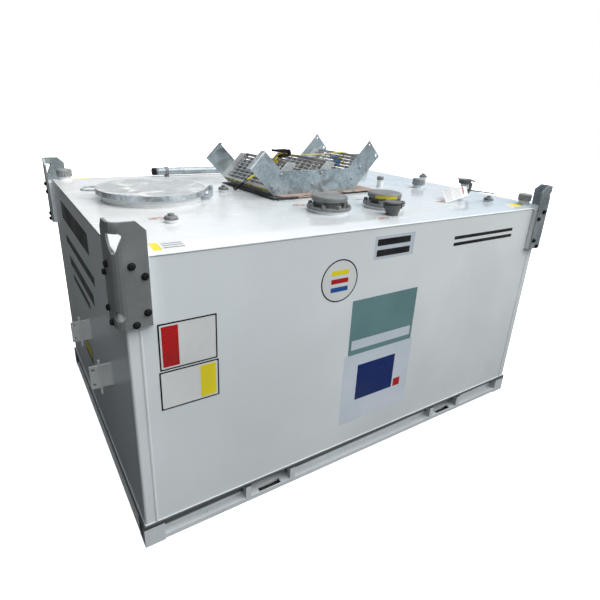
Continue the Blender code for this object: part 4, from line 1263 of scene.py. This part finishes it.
right_top, left_corner = right_arm(RIGHT_ARM, RIGHT_DEPTH), left_arm(LEFT_ARM, LEFT_DEPTH)
inner_right = (right_top[0] - right_top[1] + DEPTH, DEPTH)
inner_left = (left_corner[0] + left_corner[1] - DEPTH, DEPTH)
side_outline = [(0, 0), (RUN, 0), right_arm(RIGHT_ARM, 0), right_top, inner_right, inner_left]
side_outline += [left_arm(LEFT_ARM - FOLD, LEFT_DEPTH), left_arm(LEFT_ARM - FOLD, 0)]
lip = [(LEFT_ARM - FOLD - 0.0002, 0.0)]
for step in range(FOLD_STEPS + 1):
    angle = pi / 2 * step / FOLD_STEPS
    lip.append((LEFT_ARM - FOLD + FOLD * sin(angle), FOLD - FOLD * cos(angle)))
lip += [(LEFT_ARM, LIP_WIDTH), (LEFT_ARM - PLATE, LIP_WIDTH)]
for step in range(FOLD_STEPS + 1):
    angle = pi / 2 * (1 - step / FOLD_STEPS)
    lip.append((LEFT_ARM - FOLD + (FOLD - PLATE) * sin(angle), FOLD - (FOLD - PLATE) * cos(angle)))
lip.append((LEFT_ARM - FOLD - 0.0002, PLATE))
LIP_OUTSIDE = 7
for end, low, lip_turn in (("front", 0.0, 1), ("back", STAIR_WIDTH - PLATE, -1)):
    side = bmesh.new()
    holes = [round_hole((x, z), radius) for x, z, radius in HOLES]
    plate(side, side_outline, low, low + PLATE, stair_place, holes)
    face = low if lip_turn > 0 else low + PLATE
    rows = []
    for across in (0.0, LEFT_DEPTH):
        places = [(left_arm(along, across), face + lip_turn * inward) for along, inward in lip]
        rows.append([side.verts.new(stair_place @ Vector((x, y, z))) for (x, z), y in places])
    strips = join_rings(side, rows)
    # The outer strips of the front lip take the painted highlight.
    if end == "front":
        for strip in strips[:LIP_OUTSIDE]:
            strip.material_index = 1
    for row in rows:
        side.faces.new(row)
    stringer = (f"stair_stringer_{end}",)
    piece = add_piece(
        f"stair_side_{end}", side, stair_zinc, stands_for=stringer, more=(lip_highlight_zinc,)
    )
    soften(piece, 0.0008)
    heads = bmesh.new()
    for index, (x, z) in enumerate(BOLT_PAIRS):
        outward = Matrix.Rotation(lip_turn * pi / 2, 4, "X") @ Matrix.Rotation(0.6 * index, 4, "Z")
        spot = stair_place @ Matrix.Translation((x, face, z)) @ outward
        bolt_head(heads, spot, size=0.0088, height=0.0068, washer=0.0135, washer_height=0.0022)
    add_piece(f"stair_bolts_{end}", heads, zinc_bolt)

TREAD_PLACES = ((0.0, 0.0), (0.352, 0.0), (0.732, 0.025))
TREAD_GAP = 0.006
ROD_COUNT = 9
ROD_SIZE = (0.215, 0.0032, 0.0032)
ROD_MARGIN = 0.030
ROD_MIDDLE, ROD_LEVEL = 0.118, 0.0395
tread_reach = (STAIR_WIDTH - 2 * PLATE) / 2 - TREAD_GAP
rod_span = tread_reach - ROD_MARGIN
tread_places = []
for along, height in TREAD_PLACES:
    middle = Matrix.Translation((along, STAIR_WIDTH / 2, height))
    tread_places.append(stair_place @ middle @ Matrix.Rotation(radians(-45), 4, "Y"))
rods = bmesh.new()
for number, tread_place in enumerate(tread_places, 1):
    tread = f"stair_tread_{number}"
    dress(grating_zinc, tread)
    soften(frame["nodes"][tread], 0.0008, 1)
    for rod in range(ROD_COUNT):
        across = rod_span * (2 * rod / (ROD_COUNT - 1) - 1)
        spot = Matrix.Translation((ROD_MIDDLE, across, ROD_LEVEL)) @ Matrix.Rotation(radians(45), 4, "X")
        block(rods, tread_place @ spot, ROD_SIZE, 0.0004)
add_piece("tread_rods", rods, grating_zinc)

nosing_yellow = speckled(
    "nosing_yellow", 45, 6, (0.46, 0.37, 0.02), (0.10, 0.09, 0.06), (0.45, 0.8), 0.0006, span=(0.42, 0.56)
)
nosing = bmesh.new()
for spot, size in (
    ((-0.0006, 0, 0.040), (0.0012, 2 * tread_reach, 0.012)),
    ((0.005, 0, 0.0465), (0.009, 2 * tread_reach, 0.0012)),
):
    block(nosing, tread_places[0] @ Matrix.Translation(spot), size, 0.0003)
add_piece("tread_nosing", nosing, nosing_yellow)
BLUE_TAPES = ((0.208, -0.005, 0.100), (0.172, -0.070, 0.025), (0.140, -0.085, 0.000))
YELLOW_TAPES = (
    (0.268, -0.003, 0.023),
    (0.210, -0.041, -0.015),
    (0.172, -0.108, -0.082),
    (0.138, -0.125, -0.099),
)
for word, tapes, level, first, second in (
    ("blue", BLUE_TAPES, 0.0467, (0.03, 0.16, 0.50), (0.05, 0.20, 0.44)),
    ("yellow", YELLOW_TAPES, 0.0468, (0.80, 0.66, 0.02), (0.62, 0.50, 0.04)),
):
    tape = speckled(f"tape_{word}", 60, 5, first, second, (0.3, 0.6), 0.0003)
    strips = bmesh.new()
    for rise, near, far in tapes:
        middle = Matrix.Translation((rise, (near + far) / 2, level))
        block(strips, tread_places[2] @ middle, (0.014, far - near, 0.0014), 0.0004)
    add_piece(f"tread_tape_{word}", strips, tape)


# Tie-down: one yellow webbing strap over the treads with a black ratchet, hooked at the foot of the stair.
# Woven polyester, 25 mm wide, dirty at its edges; the ratchet and hook are black coated steel.
webbing, tree, shader = new_finish("strap_webbing", Sheen_Weight=0.2)
weave_place = add_step(tree, "ShaderNodeUVMap", uv_map="UVMap").outputs[0]
threads = []
for direction, scale, distortion in (("X", 260.0, 0.4), ("Y", 190.0, 0.3)):
    feeds = {"Vector": weave_place, "Scale": scale, "Distortion": distortion}
    wave = add_step(tree, "ShaderNodeTexWave", feeds, wave_type="BANDS", bands_direction=direction)
    threads.append(wave.outputs["Fac"])
weave = sums(tree, "MULTIPLY", *threads)
soil = clouds(tree, 35, 5)
yarn = mixed(tree, stretched(tree, weave, 0.0, 0.6), (0.68, 0.57, 0.015), (0.95, 0.83, 0.03))
yarn = mixed(tree, stretched(tree, soil, 0.50, 0.75, 0.0, 0.6), yarn, (0.22, 0.20, 0.06))
feed_shader(tree, shader, yarn, stretched(tree, soil, 0.3, 0.7, 0.6, 0.9), weave, 0.0004)
STRAP_WIDTH = 0.026
STRAP_ROUTE = (
    (0.9205, 0.310, 0.2195), (0.9130, 0.310, 0.2370), (0.8935, 0.310, 0.2468), (0.70, 0.269, 0.2455),
    (0.48, 0.2226, 0.2445), (0.26, 0.1761, 0.2530), (0.2200, 0.165, 0.2540), (0.1700, 0.155, 0.2420),
    (0.130, 0.168, 0.2160), (0.100, 0.193, 0.183), (0.040, 0.231, 0.136), (-0.020, 0.270, 0.090),
    (-0.045, 0.285, 0.072),
)
TAIL_ROUTE = (
    (0.205, 0.158, 0.262), (0.165, 0.150, 0.268), (0.120, 0.146, 0.256), (0.100, 0.152, 0.228),
    (0.112, 0.158, 0.202), (0.134, 0.164, 0.214),
)


def smooth_route(route, steps=8):
    """Points on a smooth curve through a route's own points."""
    points = [Vector(point) for point in route]
    fine = []
    for index in range(len(points) - 1):
        p0, p1, p2 = points[max(index - 1, 0)], points[index], points[index + 1]
        p3 = points[min(index + 2, len(points) - 1)]
        for t in [step / steps for step in range(steps)]:
            bend = (2 * p0 - 5 * p1 + 4 * p2 - p3) * t * t + (3 * p1 - p0 - 3 * p2 + p3) * t**3
            fine.append(0.5 * (2 * p1 + (p2 - p0) * t + bend))
    return fine + [points[-1]]


def ribbon(shape, route, width, thickness, place, seed=1, across_steps=6):
    """Adds a flat band along a route in its place, with UVs in metres along and across it."""
    layer = shape.loops.layers.uv.get("UVMap") or shape.loops.layers.uv.new("UVMap")
    fine = smooth_route(route)
    rings, uv, run, previous = [], {}, 0.0, fine[0]
    for index, point in enumerate(fine):
        direction = (fine[min(index + 1, len(fine) - 1)] - fine[max(index - 1, 0)]).normalized()
        across = Vector((0, 1, 0))
        across = (across - direction * across.dot(direction)).normalized()
        up = direction.cross(across)
        up = up if up.z > 0 or abs(up.z) < 0.2 and up.x < 0 else -up
        run += (point - previous).length
        previous = point
        shares = [step / across_steps for step in range(across_steps + 1)]
        ring = []
        for side, share in [(1, share) for share in shares] + [(-1, 1 - share) for share in shares]:
            edge = 1 - 0.35 * abs(2 * share - 1) ** 6
            ripple = 0.0006 * noise.noise(Vector((run * 30, share * 2, seed)))
            lift = thickness * 0.5 * (1 + side * edge) + ripple
            ring.append(shape.verts.new(place @ (point + across * (share - 0.5) * width + up * lift)))
            uv[ring[-1]] = (run, share * width)
        rings.append(ring)
    for face in join_rings(shape, rings):
        for loop in face.loops:
            loop[layer].uv = uv[loop.vert]
    shape.faces.new(rings[0])
    shape.faces.new(rings[-1])


strap = bmesh.new()
ribbon(strap, STRAP_ROUTE, STRAP_WIDTH, 0.0024, stair_place)
ribbon(strap, TAIL_ROUTE, STRAP_WIDTH, 0.0022, stair_place, seed=4)
add_piece("strap_band", strap, webbing, stands_for=("stair_strap",))

RATCHET_SPOT = (0.172, 0.160, 0.2400)
RATCHET_SCALE = (0.88, 1, 1.3, 1)
SPOOL = (0.056, 0, 0.024)
CHEEK = [(-0.050, 0.002), (0.070, 0.002), (0.084, 0.016), (0.074, 0.036)]
CHEEK += [(0.044, 0.042), (0.010, 0.024), (-0.046, 0.014)]
LEVER = [(-0.098, 0.044), (-0.088, 0.033), (0.020, 0.024), (0.066, 0.014)]
LEVER += [(0.072, 0.026), (0.040, 0.040), (-0.030, 0.042)]
GRIP = [(-0.100, 0.046), (-0.092, 0.034), (-0.060, 0.031), (-0.020, 0.030), (-0.020, 0.034), (-0.060, 0.036)]
GRIP += [(-0.088, 0.040), (-0.094, 0.047)]
KNOB = [(0, 0), (0.0155, 0), (0.0155, 0.003), (0.007, 0.005), (0, 0.005)]
ratchet_turn = Matrix.Rotation(radians(12), 4, "Z") @ Matrix.Rotation(radians(-3), 4, "Y")
ratchet_place = stair_place @ Matrix.Translation(RATCHET_SPOT) @ ratchet_turn @ Matrix.Diagonal(RATCHET_SCALE)
spool = ratchet_place @ Matrix.Translation(SPOOL)
ratchet = bmesh.new()
for side in (-1, 1):
    plate(ratchet, eased(CHEEK, 0.006), side * 0.019 - 0.0013, side * 0.019 + 0.0013, ratchet_place)
    plate(ratchet, eased(LEVER, 0.004), side * 0.0225 - 0.0011, side * 0.0225 + 0.0011, ratchet_place)
    knob = spool @ Matrix.Translation((0, side * 0.0236, 0)) @ Matrix.Rotation(-side * pi / 2, 4, "X")
    turned(ratchet, eased(KNOB, 0.0008, 2, closed=False), knob, sides=24)
drum = [(0, -0.022), (0.0095, -0.022), (0.0095, 0.022), (0, 0.022)]
turned(ratchet, drum, spool @ Matrix.Rotation(pi / 2, 4, "X"), sides=24)
plate(ratchet, eased(GRIP, 0.0015), -0.0235, 0.0235, ratchet_place)
for spot, size in (((-0.020, 0, 0.004), (0.080, 0.036, 0.004)), ((0.020, 0, 0.038), (0.040, 0.043, 0.004))):
    block(ratchet, ratchet_place @ Matrix.Translation(spot), size, 0.001)
add_piece("ratchet_buckle", ratchet, black_oxide, stands_for=("strap_ratchet",))

HOOK_TOP, HOOK_FOOT = Vector((-0.040, 0.283, 0.075)), Vector((-0.112, 0.338, -0.006))
HOOK_WIRE = 0.0034
LEG_REACH = 0.011
run_down = (HOOK_FOOT - HOOK_TOP).normalized()
hook_side = Vector((0, 1, 0)).cross(run_down).cross(run_down).normalized()
lift = run_down.cross(hook_side).normalized()
lift = lift if lift.x < 0 else -lift
hook = bmesh.new()
for reach in (-LEG_REACH, LEG_REACH):
    shift = hook_side * reach
    leg = [
        HOOK_TOP + shift * 1.3,
        HOOK_TOP + run_down * 0.030 + shift * 1.3,
        HOOK_TOP + run_down * 0.050 + shift * 0.5,
        HOOK_FOOT + shift * 0.7,
        HOOK_FOOT + run_down * 0.004 + lift * 0.018 + shift * 0.7,
        HOOK_FOOT - run_down * 0.022 + lift * 0.026 + shift * 0.7,
    ]
    wire(hook, eased(leg, 0.010, 5, closed=False), HOOK_WIRE, stair_place)
wire(hook, [HOOK_TOP + hook_side * 0.017, HOOK_TOP - hook_side * 0.017], HOOK_WIRE, stair_place)
add_piece("strap_hook", hook, black_oxide)


# Dunnage: torn boards over a dark mat, laid under the stair so that it doesn't mark the roof paint.
# Laminated brown card with ragged edges on a thin rubber mat.
board_fibre, tree, shader = new_finish("board_fibre", Sheen_Weight=0.1)
fibres = clouds(tree, 6, 6, squeeze=(1, 12, 12))
damp = stretched(tree, clouds(tree, 5, 6, distortion=0.7), 0.56, 0.66, 0.0, 0.75)
colour = mixed(tree, stretched(tree, fibres, 0.35, 0.65), (0.30, 0.205, 0.165), (0.47, 0.355, 0.300))
colour = mixed(tree, damp, colour, (0.085, 0.060, 0.050))
feed_shader(tree, shader, colour, stretched(tree, fibres, 0.3, 0.7, 0.75, 0.95), fibres, 0.0012)
mat_rubber, tree, shader = new_finish("mat_rubber")
mat_grain = clouds(tree, 140, 3)
mat_dust = stretched(tree, clouds(tree, 6, 5), 0.45, 0.7, 0.0, 0.35)
colour = mixed(tree, mat_dust, (0.022, 0.022, 0.024), (0.10, 0.095, 0.09))
feed_shader(tree, shader, colour, stretched(tree, mat_grain, 0.3, 0.7, 0.6, 0.9), mat_grain, 0.0008)
TEAR_PITCH = 0.012


def ragged_sheet(shape, corners, low, high, seed, rough):
    """Adds a sheet with torn edges under the stair, lying between two heights."""
    outline = []
    for index, corner in enumerate(corners):
        here, ahead = Vector(corner), Vector(corners[(index + 1) % len(corners)])
        along = ahead - here
        outward = Vector((along.y, -along.x)).normalized()
        count = max(2, round(along.length / TEAR_PITCH))
        for step in range(count):
            point = here + along * step / count
            tear = noise.noise(Vector((point.x * 40, point.y * 40, seed)))
            tear += 0.5 * noise.noise(Vector((point.x * 130, point.y * 130, seed)))
            outline.append(point + outward * tear * rough)
    faces, ring = fill_outline(shape, [[(x, y, low) for x, y in outline]])
    pushed = thicken(shape, faces, (0, 0, high - low))
    bmesh.ops.transform(shape, verts=ring + pushed, matrix=stair_place)


MAT_SHEETS = (
    (((-0.020, -0.088), (0.900, -0.050), (0.900, 0.700), (-0.030, 0.700)), 0.0002, 0.0060, 2, 0.007),
    (((-0.045, -0.070), (0.130, -0.096), (0.150, 0.200), (-0.040, 0.620)), 0.0062, 0.0145, 12, 0.008),
)
BOARD_SHEETS = (
    (((0.155, -0.086), (0.430, -0.070), (0.430, 0.690), (0.155, 0.690)), 0.0063, 0.0113, 5, 0.011),
    (((0.110, -0.055), (0.330, -0.072), (0.350, 0.340), (0.110, 0.330)), 0.0147, 0.0188, 6, 0.012),
    (((0.440, -0.035), (0.955, -0.040), (0.945, 0.640), (0.440, 0.640)), 0.0063, 0.0109, 7, 0.010),
    (((0.600, -0.062), (0.860, -0.066), (0.880, 0.300), (0.600, 0.280)), 0.0111, 0.0155, 9, 0.014),
    (((0.430, -0.058), (0.560, -0.060), (0.560, 0.250), (0.430, 0.250)), 0.0117, 0.0153, 10, 0.012),
    (((0.030, -0.062), (0.200, -0.081), (0.200, 0.060), (0.015, 0.060)), 0.0147, 0.0181, 15, 0.013),
)
mat_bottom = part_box("dunnage_mat")[0].z - STAIR_FOOT.z
for name, sheets, finish, slot, node in (
    ("mat_sheet", MAT_SHEETS, mat_rubber, "dark_rubber", "dunnage_mat"),
    ("board_sheets", BOARD_SHEETS, board_fibre, "brown_board", "dunnage_board"),
):
    pile = bmesh.new()
    for corners, low, high, seed, rough in sheets:
        ragged_sheet(pile, corners, mat_bottom + low, mat_bottom + high, seed, rough)
    add_piece(name, pile, finish, stands_for=(node,))


# Vent pipe: a loose galvanised pipe, its threaded left end under a black plastic cap, clamped to the back
# of the roof. Two ring clamps of grey strip hold it off the plate.
pipe_zinc = galvanised(
    "pipe_zinc",
    depth=0.0010,
    edges=0.3,
    metallic=0.45,
    color=(0.20, 0.235, 0.25),
    light=(0.40, 0.45, 0.47),
    stain=(0.13, 0.14, 0.145),
    stain_amount=0.6,
    spangle=70.0,
    smooth=0.22,
    rough=0.50,
)
PIPE_BORE, PIPE_RADIUS = 0.0262, 0.0298
CAP_REACH = 0.0300
THREAD_COUNT = 9
THREAD_PITCH = 0.0045
CLAMP_REACH, CLAMP_TOP = 0.027, 0.0042
low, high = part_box("vent_pipe")
length = high.x - low.x
axis_place = Matrix.Translation((low.x, (low.y + high.y) / 2, (low.z + high.z) / 2))
axis_place = axis_place @ Matrix.Rotation(pi / 2, 4, "Y")
pipe = bmesh.new()
pipe_profile = [(PIPE_BORE, 0.030), (0.0292, 0.030), (PIPE_RADIUS, 0.100), (PIPE_RADIUS, length - 0.002)]
turned(pipe, pipe_profile + [(0.0285, length), (PIPE_BORE, length)], axis_place, sides=64, wall=True)
add_piece("pipe_tube", pipe, pipe_zinc, stands_for=("vent_pipe",))
pipe_cap = bmesh.new()
cap_profile = [(0, 0), (0.027, 0), (CAP_REACH, 0.003)]
for thread in range(THREAD_COUNT):
    crest = 0.005 + thread * THREAD_PITCH
    cap_profile += [(CAP_REACH, crest), (0.0286, crest + 0.0022)]
turned(pipe_cap, cap_profile + [(CAP_REACH, 0.047), (0.0, 0.047)], axis_place, sides=64)
add_piece("pipe_end_cap", pipe_cap, black_oxide, stands_for=("vent_pipe",))
clamp_bolts = bmesh.new()
for clamp in ("pipe_clamp_left", "pipe_clamp_right"):
    dress(vent_iron, clamp)
    place = stand(clamp)[0]
    for side in (-1, 1):
        spot = place @ Matrix.Translation((0, side * CLAMP_REACH, roof_high.z + CLAMP_TOP))
        bolt_head(clamp_bolts, spot, size=0.0055, height=0.004, washer=0.0075, washer_height=0.001)
add_piece("clamp_bolts", clamp_bolts, zinc_bolt)


# Blank panels: vinyl sheets stuck on the front, the left end and the rim of the roof, and flaked rust marks.
# Printed film, faded and dusty; each sheet holds only plain bars or bands of colour.
def vinyl(name, colour, shade):
    """Printed film of one colour, faded and dusty."""
    finish, tree, shader = new_finish(name, Specular_IOR_Level=0.18)
    fade, dust = clouds(tree, 4, 6), clouds(tree, 90, 3)
    tone = mixed(tree, stretched(tree, fade, 0.35, 0.65), colour, shade)
    tone = mixed(tree, stretched(tree, dust, 0.55, 0.8, 0.0, 0.07), tone, (0.45, 0.44, 0.42))
    feed_shader(tree, shader, tone, stretched(tree, fade, 0.3, 0.7, 0.25, 0.5), dust, 0.0002)
    return finish


vinyl_white = vinyl("vinyl_white", (0.76, 0.79, 0.80), (0.68, 0.71, 0.72))
vinyl_black = vinyl("vinyl_black", (0.012, 0.012, 0.014), (0.030, 0.030, 0.032))
vinyl_red = vinyl("vinyl_red", (0.50, 0.018, 0.020), (0.38, 0.020, 0.022))
vinyl_yellow = vinyl("vinyl_yellow", (0.90, 0.78, 0.02), (0.78, 0.66, 0.03))
vinyl_green = vinyl("vinyl_green", (0.158, 0.287, 0.305), (0.135, 0.250, 0.266))
vinyl_pale = vinyl("vinyl_pale", (0.63, 0.70, 0.775), (0.57, 0.64, 0.715))
vinyl_navy = vinyl("vinyl_navy", (0.014, 0.030, 0.150), (0.018, 0.036, 0.130))
vinyl_blue = vinyl("vinyl_blue", (0.02, 0.09, 0.36), (0.03, 0.10, 0.30))
vinyl_grey = vinyl("vinyl_grey", (0.13, 0.135, 0.14), (0.17, 0.175, 0.18))
rust_mark = vinyl("rust_mark", (0.42, 0.17, 0.11), (0.50, 0.30, 0.24))
SHEET_STEP = 0.0004
WALL_GAP = 0.0001
front_place = Matrix.Translation((0, wall_low.y - WALL_GAP, 0))
end_place = Matrix.Translation((roof_low.x - WALL_GAP, 0, 0)) @ Matrix.Rotation(-pi / 2, 4, "Z")


def add_panel(name, corners, finish, level=0, place=front_place, ease=0.004):
    """Adds one vinyl sheet on a wall, or on another sheet where its level is above 0."""
    shape = bmesh.new()
    plate(shape, eased(corners, ease), -SHEET_STEP * (level + 1), -SHEET_STEP * level, place)
    add_piece(name, shape, finish)


def add_box(name, sides, finish, level=0, place=front_place):
    """Adds an upright rectangle of vinyl, given by its left, right, lower and upper sides."""
    x0, x1, z0, z1 = sides
    add_panel(name, [(x0, z0), (x1, z0), (x1, z1), (x0, z1)], finish, level, place)


def add_roof_label(name, centre, size, finish, level=0, steps=8):
    """Adds one vinyl sheet lying on the roof."""
    shape = bmesh.new()
    rows = []
    for x in [centre[0] + size[0] * (step / steps - 0.5) for step in range(steps + 1)]:
        ys = [centre[1] + size[1] * (step / steps - 0.5) for step in range(steps + 1)]
        rows.append([shape.verts.new((x, y, crown_height(x, y) + SHEET_STEP * (level + 1))) for y in ys])
    join_rows(shape, rows)
    thicken(shape, shape.faces[:], (0, 0, -SHEET_STEP))
    add_piece(name, shape, finish)


PANEL_BORDER = 0.008
for name, (x0, x1, z0, z1), band, finish in (
    ("upper_panel", (-1.357, -1.070, 1.030, 1.273), (-1.341, -1.262), vinyl_red),
    ("lower_panel", (-1.363, -1.064, 0.812, 1.024), (-1.162, -1.080), vinyl_yellow),
):
    face = (x0 + PANEL_BORDER, x1 - PANEL_BORDER, z0 + PANEL_BORDER, z1 - PANEL_BORDER)
    add_box(f"{name}_edge", (x0, x1, z0, z1), vinyl_black)
    add_box(f"{name}_face", face, vinyl_white, 1)
    add_box(f"{name}_band", (*band, z0 + 2 * PANEL_BORDER, z1 - 2 * PANEL_BORDER), finish, 2)

BADGE = Vector((-0.33165, 1.316))
BADGE_SIDES = 72
BAR_HALF, BAR_RISE = 0.060, 0.014
add_panel("badge_rim", round_hole(BADGE, 0.128, BADGE_SIDES), vinyl_black, ease=0.0001)
add_panel("badge_face", round_hole(BADGE, 0.120, BADGE_SIDES), vinyl_white, 1, ease=0.0001)
for number, (finish, offset) in enumerate(((vinyl_yellow, 0.050), (vinyl_red, 0.0), (vinyl_blue, -0.050)), 1):
    x, z = BADGE.x, BADGE.y + offset
    add_box(f"badge_bar_{number}", (x - BAR_HALF, x + BAR_HALF, z - BAR_RISE, z + BAR_RISE), finish, 2)

for name, sides, finish, level in (
    ("green_placard", (-0.220, 0.315, 0.800, 1.170), vinyl_green, 0),
    ("green_placard_band", (-0.200, 0.295, 0.835, 0.900), vinyl_pale, 1),
    ("pale_placard", (-0.242, 0.335, 0.290, 0.800), vinyl_pale, 0),
    ("pale_placard_block", (-0.130, 0.190, 0.455, 0.715), vinyl_navy, 1),
    ("pale_placard_corner", (0.205, 0.265, 0.455, 0.515), vinyl_red, 1),
    ("top_label", (-0.095, 0.225, 1.405, 1.545), vinyl_pale, 0),
    ("top_label_bar_1", (-0.075, 0.190, 1.487, 1.527), vinyl_black, 1),
    ("top_label_bar_2", (-0.075, 0.190, 1.422, 1.462), vinyl_black, 1),
    ("right_bar_1", (0.600, 1.230, 1.452, 1.474), vinyl_black, 0),
    ("right_bar_2", (0.600, 1.230, 1.408, 1.430), vinyl_black, 0),
):
    add_box(name, sides, finish, level)
for name, sides, finish, level in (
    ("end_bar_1", (-0.66, 0.33, 1.395, 1.520), vinyl_black, 0),
    ("end_bar_2", (-0.60, 0.40, 1.235, 1.290), vinyl_black, 0),
    ("end_bar_3", (-0.55, 0.30, 1.080, 1.150), vinyl_black, 0),
    ("end_bar_4", (-0.48, 0.12, 0.985, 1.030), vinyl_black, 0),
    ("end_plate_edge", (-0.330, -0.060, 0.500, 0.615), vinyl_black, 0),
    ("end_plate_face", (-0.300, -0.090, 0.530, 0.605), vinyl_yellow, 1),
):
    add_box(name, sides, finish, level, end_place)

for name, centre, size, finish, level in (
    ("left_roof_label", (-1.262, -1.005), (0.155, 0.100), vinyl_white, 0),
    ("left_roof_label_band", (-1.318, -1.005), (0.036, 0.092), vinyl_yellow, 1),
    ("right_roof_label", (1.350, -0.990), (0.180, 0.085), vinyl_white, 0),
    ("right_roof_label_band", (1.345, -0.990), (0.090, 0.070), vinyl_yellow, 1),
    ("right_roof_label_ends", (1.405, -0.990), (0.030, 0.070), vinyl_grey, 1),
    ("left_roof_label_line_1", (-1.240, -1.032), (0.095, 0.007), vinyl_grey, 1),
    ("left_roof_label_line_2", (-1.240, -1.008), (0.095, 0.007), vinyl_grey, 1),
    ("left_roof_label_line_3", (-1.240, -0.984), (0.095, 0.007), vinyl_grey, 1),
):
    add_roof_label(name, centre, size, finish, level)
RUST_PLACES = (
    (-0.216, -0.455),
    (0.322, -0.417),
    (0.057, -0.957),
    (-1.153, -0.507),
    (1.137, -0.144),
    (0.872, -0.699),
)
FLAKES = 15
stretch = Matrix.Diagonal((1.6, 1, 1, 1))
draw = Random(8)
for number, (x, y) in enumerate(RUST_PLACES, 1):
    mark = bmesh.new()
    for flake in range(FLAKES):
        spot = Vector((x + draw.uniform(-0.045, 0.045), y + draw.uniform(-0.024, 0.024)))
        chip = [(0, 0.0003), (draw.uniform(0.004, 0.010), 0.0003), (0.0015, 0.0007), (0, 0.0008)]
        turned(mark, chip, Matrix.Translation((*spot, crown_height(*spot))) @ stretch, sides=9)
    add_piece(f"rust_mark_{number}", mark, rust_mark)
add_roof_label("back_roof_label", (-1.300, 1.000), (0.150, 0.060), vinyl_yellow)


# Floor and light: a plain pale studio floor, with a painted shadow under the tank, under one broad soft light
# from above and the front right.
# Nothing here belongs to the tank.
def one_of(tree, share, first, second):
    """The first shader, or the second where the share is 1."""
    return add_step(tree, "ShaderNodeMixShader", {0: share, 1: first.outputs[0], 2: second.outputs[0]})


SHADE_REACH_X = (0.17, 0.12)
SHADE_REACH_Y = (0.050, 0.040)
floor_shape = bmesh.new()
bmesh.ops.create_grid(floor_shape, x_segments=2, y_segments=2, size=30)
mesh = bpy.data.meshes.new("floor")
floor_shape.to_mesh(mesh)
floor_shape.free()
floor = bpy.data.objects.new("floor", mesh)
bpy.context.scene.collection.objects.link(floor)
floor_finish, tree, shader = new_finish("studio_floor", Specular_IOR_Level=0.1, Emission_Strength=0.8)
floor_cloud = clouds(tree, 0.8, 3)
floor_colour = mixed(tree, floor_cloud, (0.90, 0.90, 0.895), (0.93, 0.93, 0.925))
floor_rough = stretched(tree, floor_cloud, 0.3, 0.7, 0.7, 0.85)
feed_shader(tree, shader, floor_colour, floor_rough, clouds(tree, 90, 2), 0.0004)
spot = surface_spot(tree)
# Painted shadow: under the tank, a little inside its footprint, the floor turns dark and stops glowing.
off_x, off_y = sums(tree, "ABSOLUTE", spot["X"]), sums(tree, "ABSOLUTE", spot["Y"])
clear_x = stretched(tree, off_x, *[-cad_box[0][0] - reach for reach in SHADE_REACH_X])
clear_y = stretched(tree, off_y, *[-cad_box[0][1] - reach for reach in SHADE_REACH_Y])
clear = sums(tree, "MAXIMUM", clear_x, clear_y)
tree.links.new(mixed(tree, clear, (0.0, 0.0, 0.0), (1, 1, 1)), shader.inputs["Emission Color"])
tree.links.new(mixed(tree, clear, (0.05, 0.05, 0.05), floor_colour), shader.inputs["Base Color"])
dim_floor = add_step(tree, "ShaderNodeBsdfDiffuse", {"Color": (0.085, 0.088, 0.086)})
seen = add_step(tree, "ShaderNodeLightPath").outputs["Is Camera Ray"]
either = one_of(tree, seen, dim_floor, shader)
tree.links.new(either.outputs[0], tree.nodes["Material Output"].inputs["Surface"])
mesh.materials.append(floor_finish)

DARK_SIDE = (-0.62, 0.78, 0.0)
world = bpy.data.worlds.new("studio")
bpy.context.scene.world = world
world.use_nodes = True
tree = world.node_tree
tree.nodes.clear()
room = add_step(tree, "ShaderNodeBackground", {"Color": (0.84, 0.92, 1.0), "Strength": 0.115})
sky = stretched(tree, clouds(tree, 3.0, 4, squeeze=(1, 1, 1.6), places="Generated"), 0.42, 0.60)
sky_colour = mixed(tree, sky, (0.60, 0.72, 0.84), (1.0, 1.0, 1.0))
sky_place = add_step(tree, "ShaderNodeTexCoord").outputs["Generated"]
sides = {0: sky_place, 1: DARK_SIDE}
facing = add_step(tree, "ShaderNodeVectorMath", sides, operation="DOT_PRODUCT").outputs["Value"]
sky_colour = mixed(tree, stretched(tree, facing, 0.45, 0.9, 0.0, 0.75), sky_colour, (0.10, 0.095, 0.09))
mirrored = add_step(tree, "ShaderNodeBackground", {"Color": sky_colour, "Strength": 0.85})
paper = add_step(tree, "ShaderNodeBackground", {"Color": (1, 1, 1), "Strength": 1.0})
rays = add_step(tree, "ShaderNodeLightPath").outputs
unseen = one_of(tree, rays["Is Glossy Ray"], room, mirrored)
either = one_of(tree, rays["Is Camera Ray"], unseen, paper)
add_step(tree, "ShaderNodeOutputWorld", {0: either.outputs[0]})


def add_light(name, energy, spread, towards):
    """Adds a broad light that shines from a direction."""
    light = bpy.data.lights.new(name, "SUN")
    light.energy = energy
    light.angle = radians(spread)
    item = bpy.data.objects.new(name, light)
    item.rotation_euler = Vector(towards).to_track_quat("Z", "Y").to_euler()
    bpy.context.scene.collection.objects.link(item)
    return item


soft_key = add_light("soft_key", 3.95, 78, (0.36, -0.43, 0.83))
soft_key.data.color = (1.0, 0.995, 0.985)
back_fill = add_light("back_fill", 1.5, 40, (0.25, 0.93, 0.22))
back_fill.visible_glossy = False
bpy.context.scene.view_settings.view_transform = "Standard"
bpy.context.scene.view_settings.look = "None"
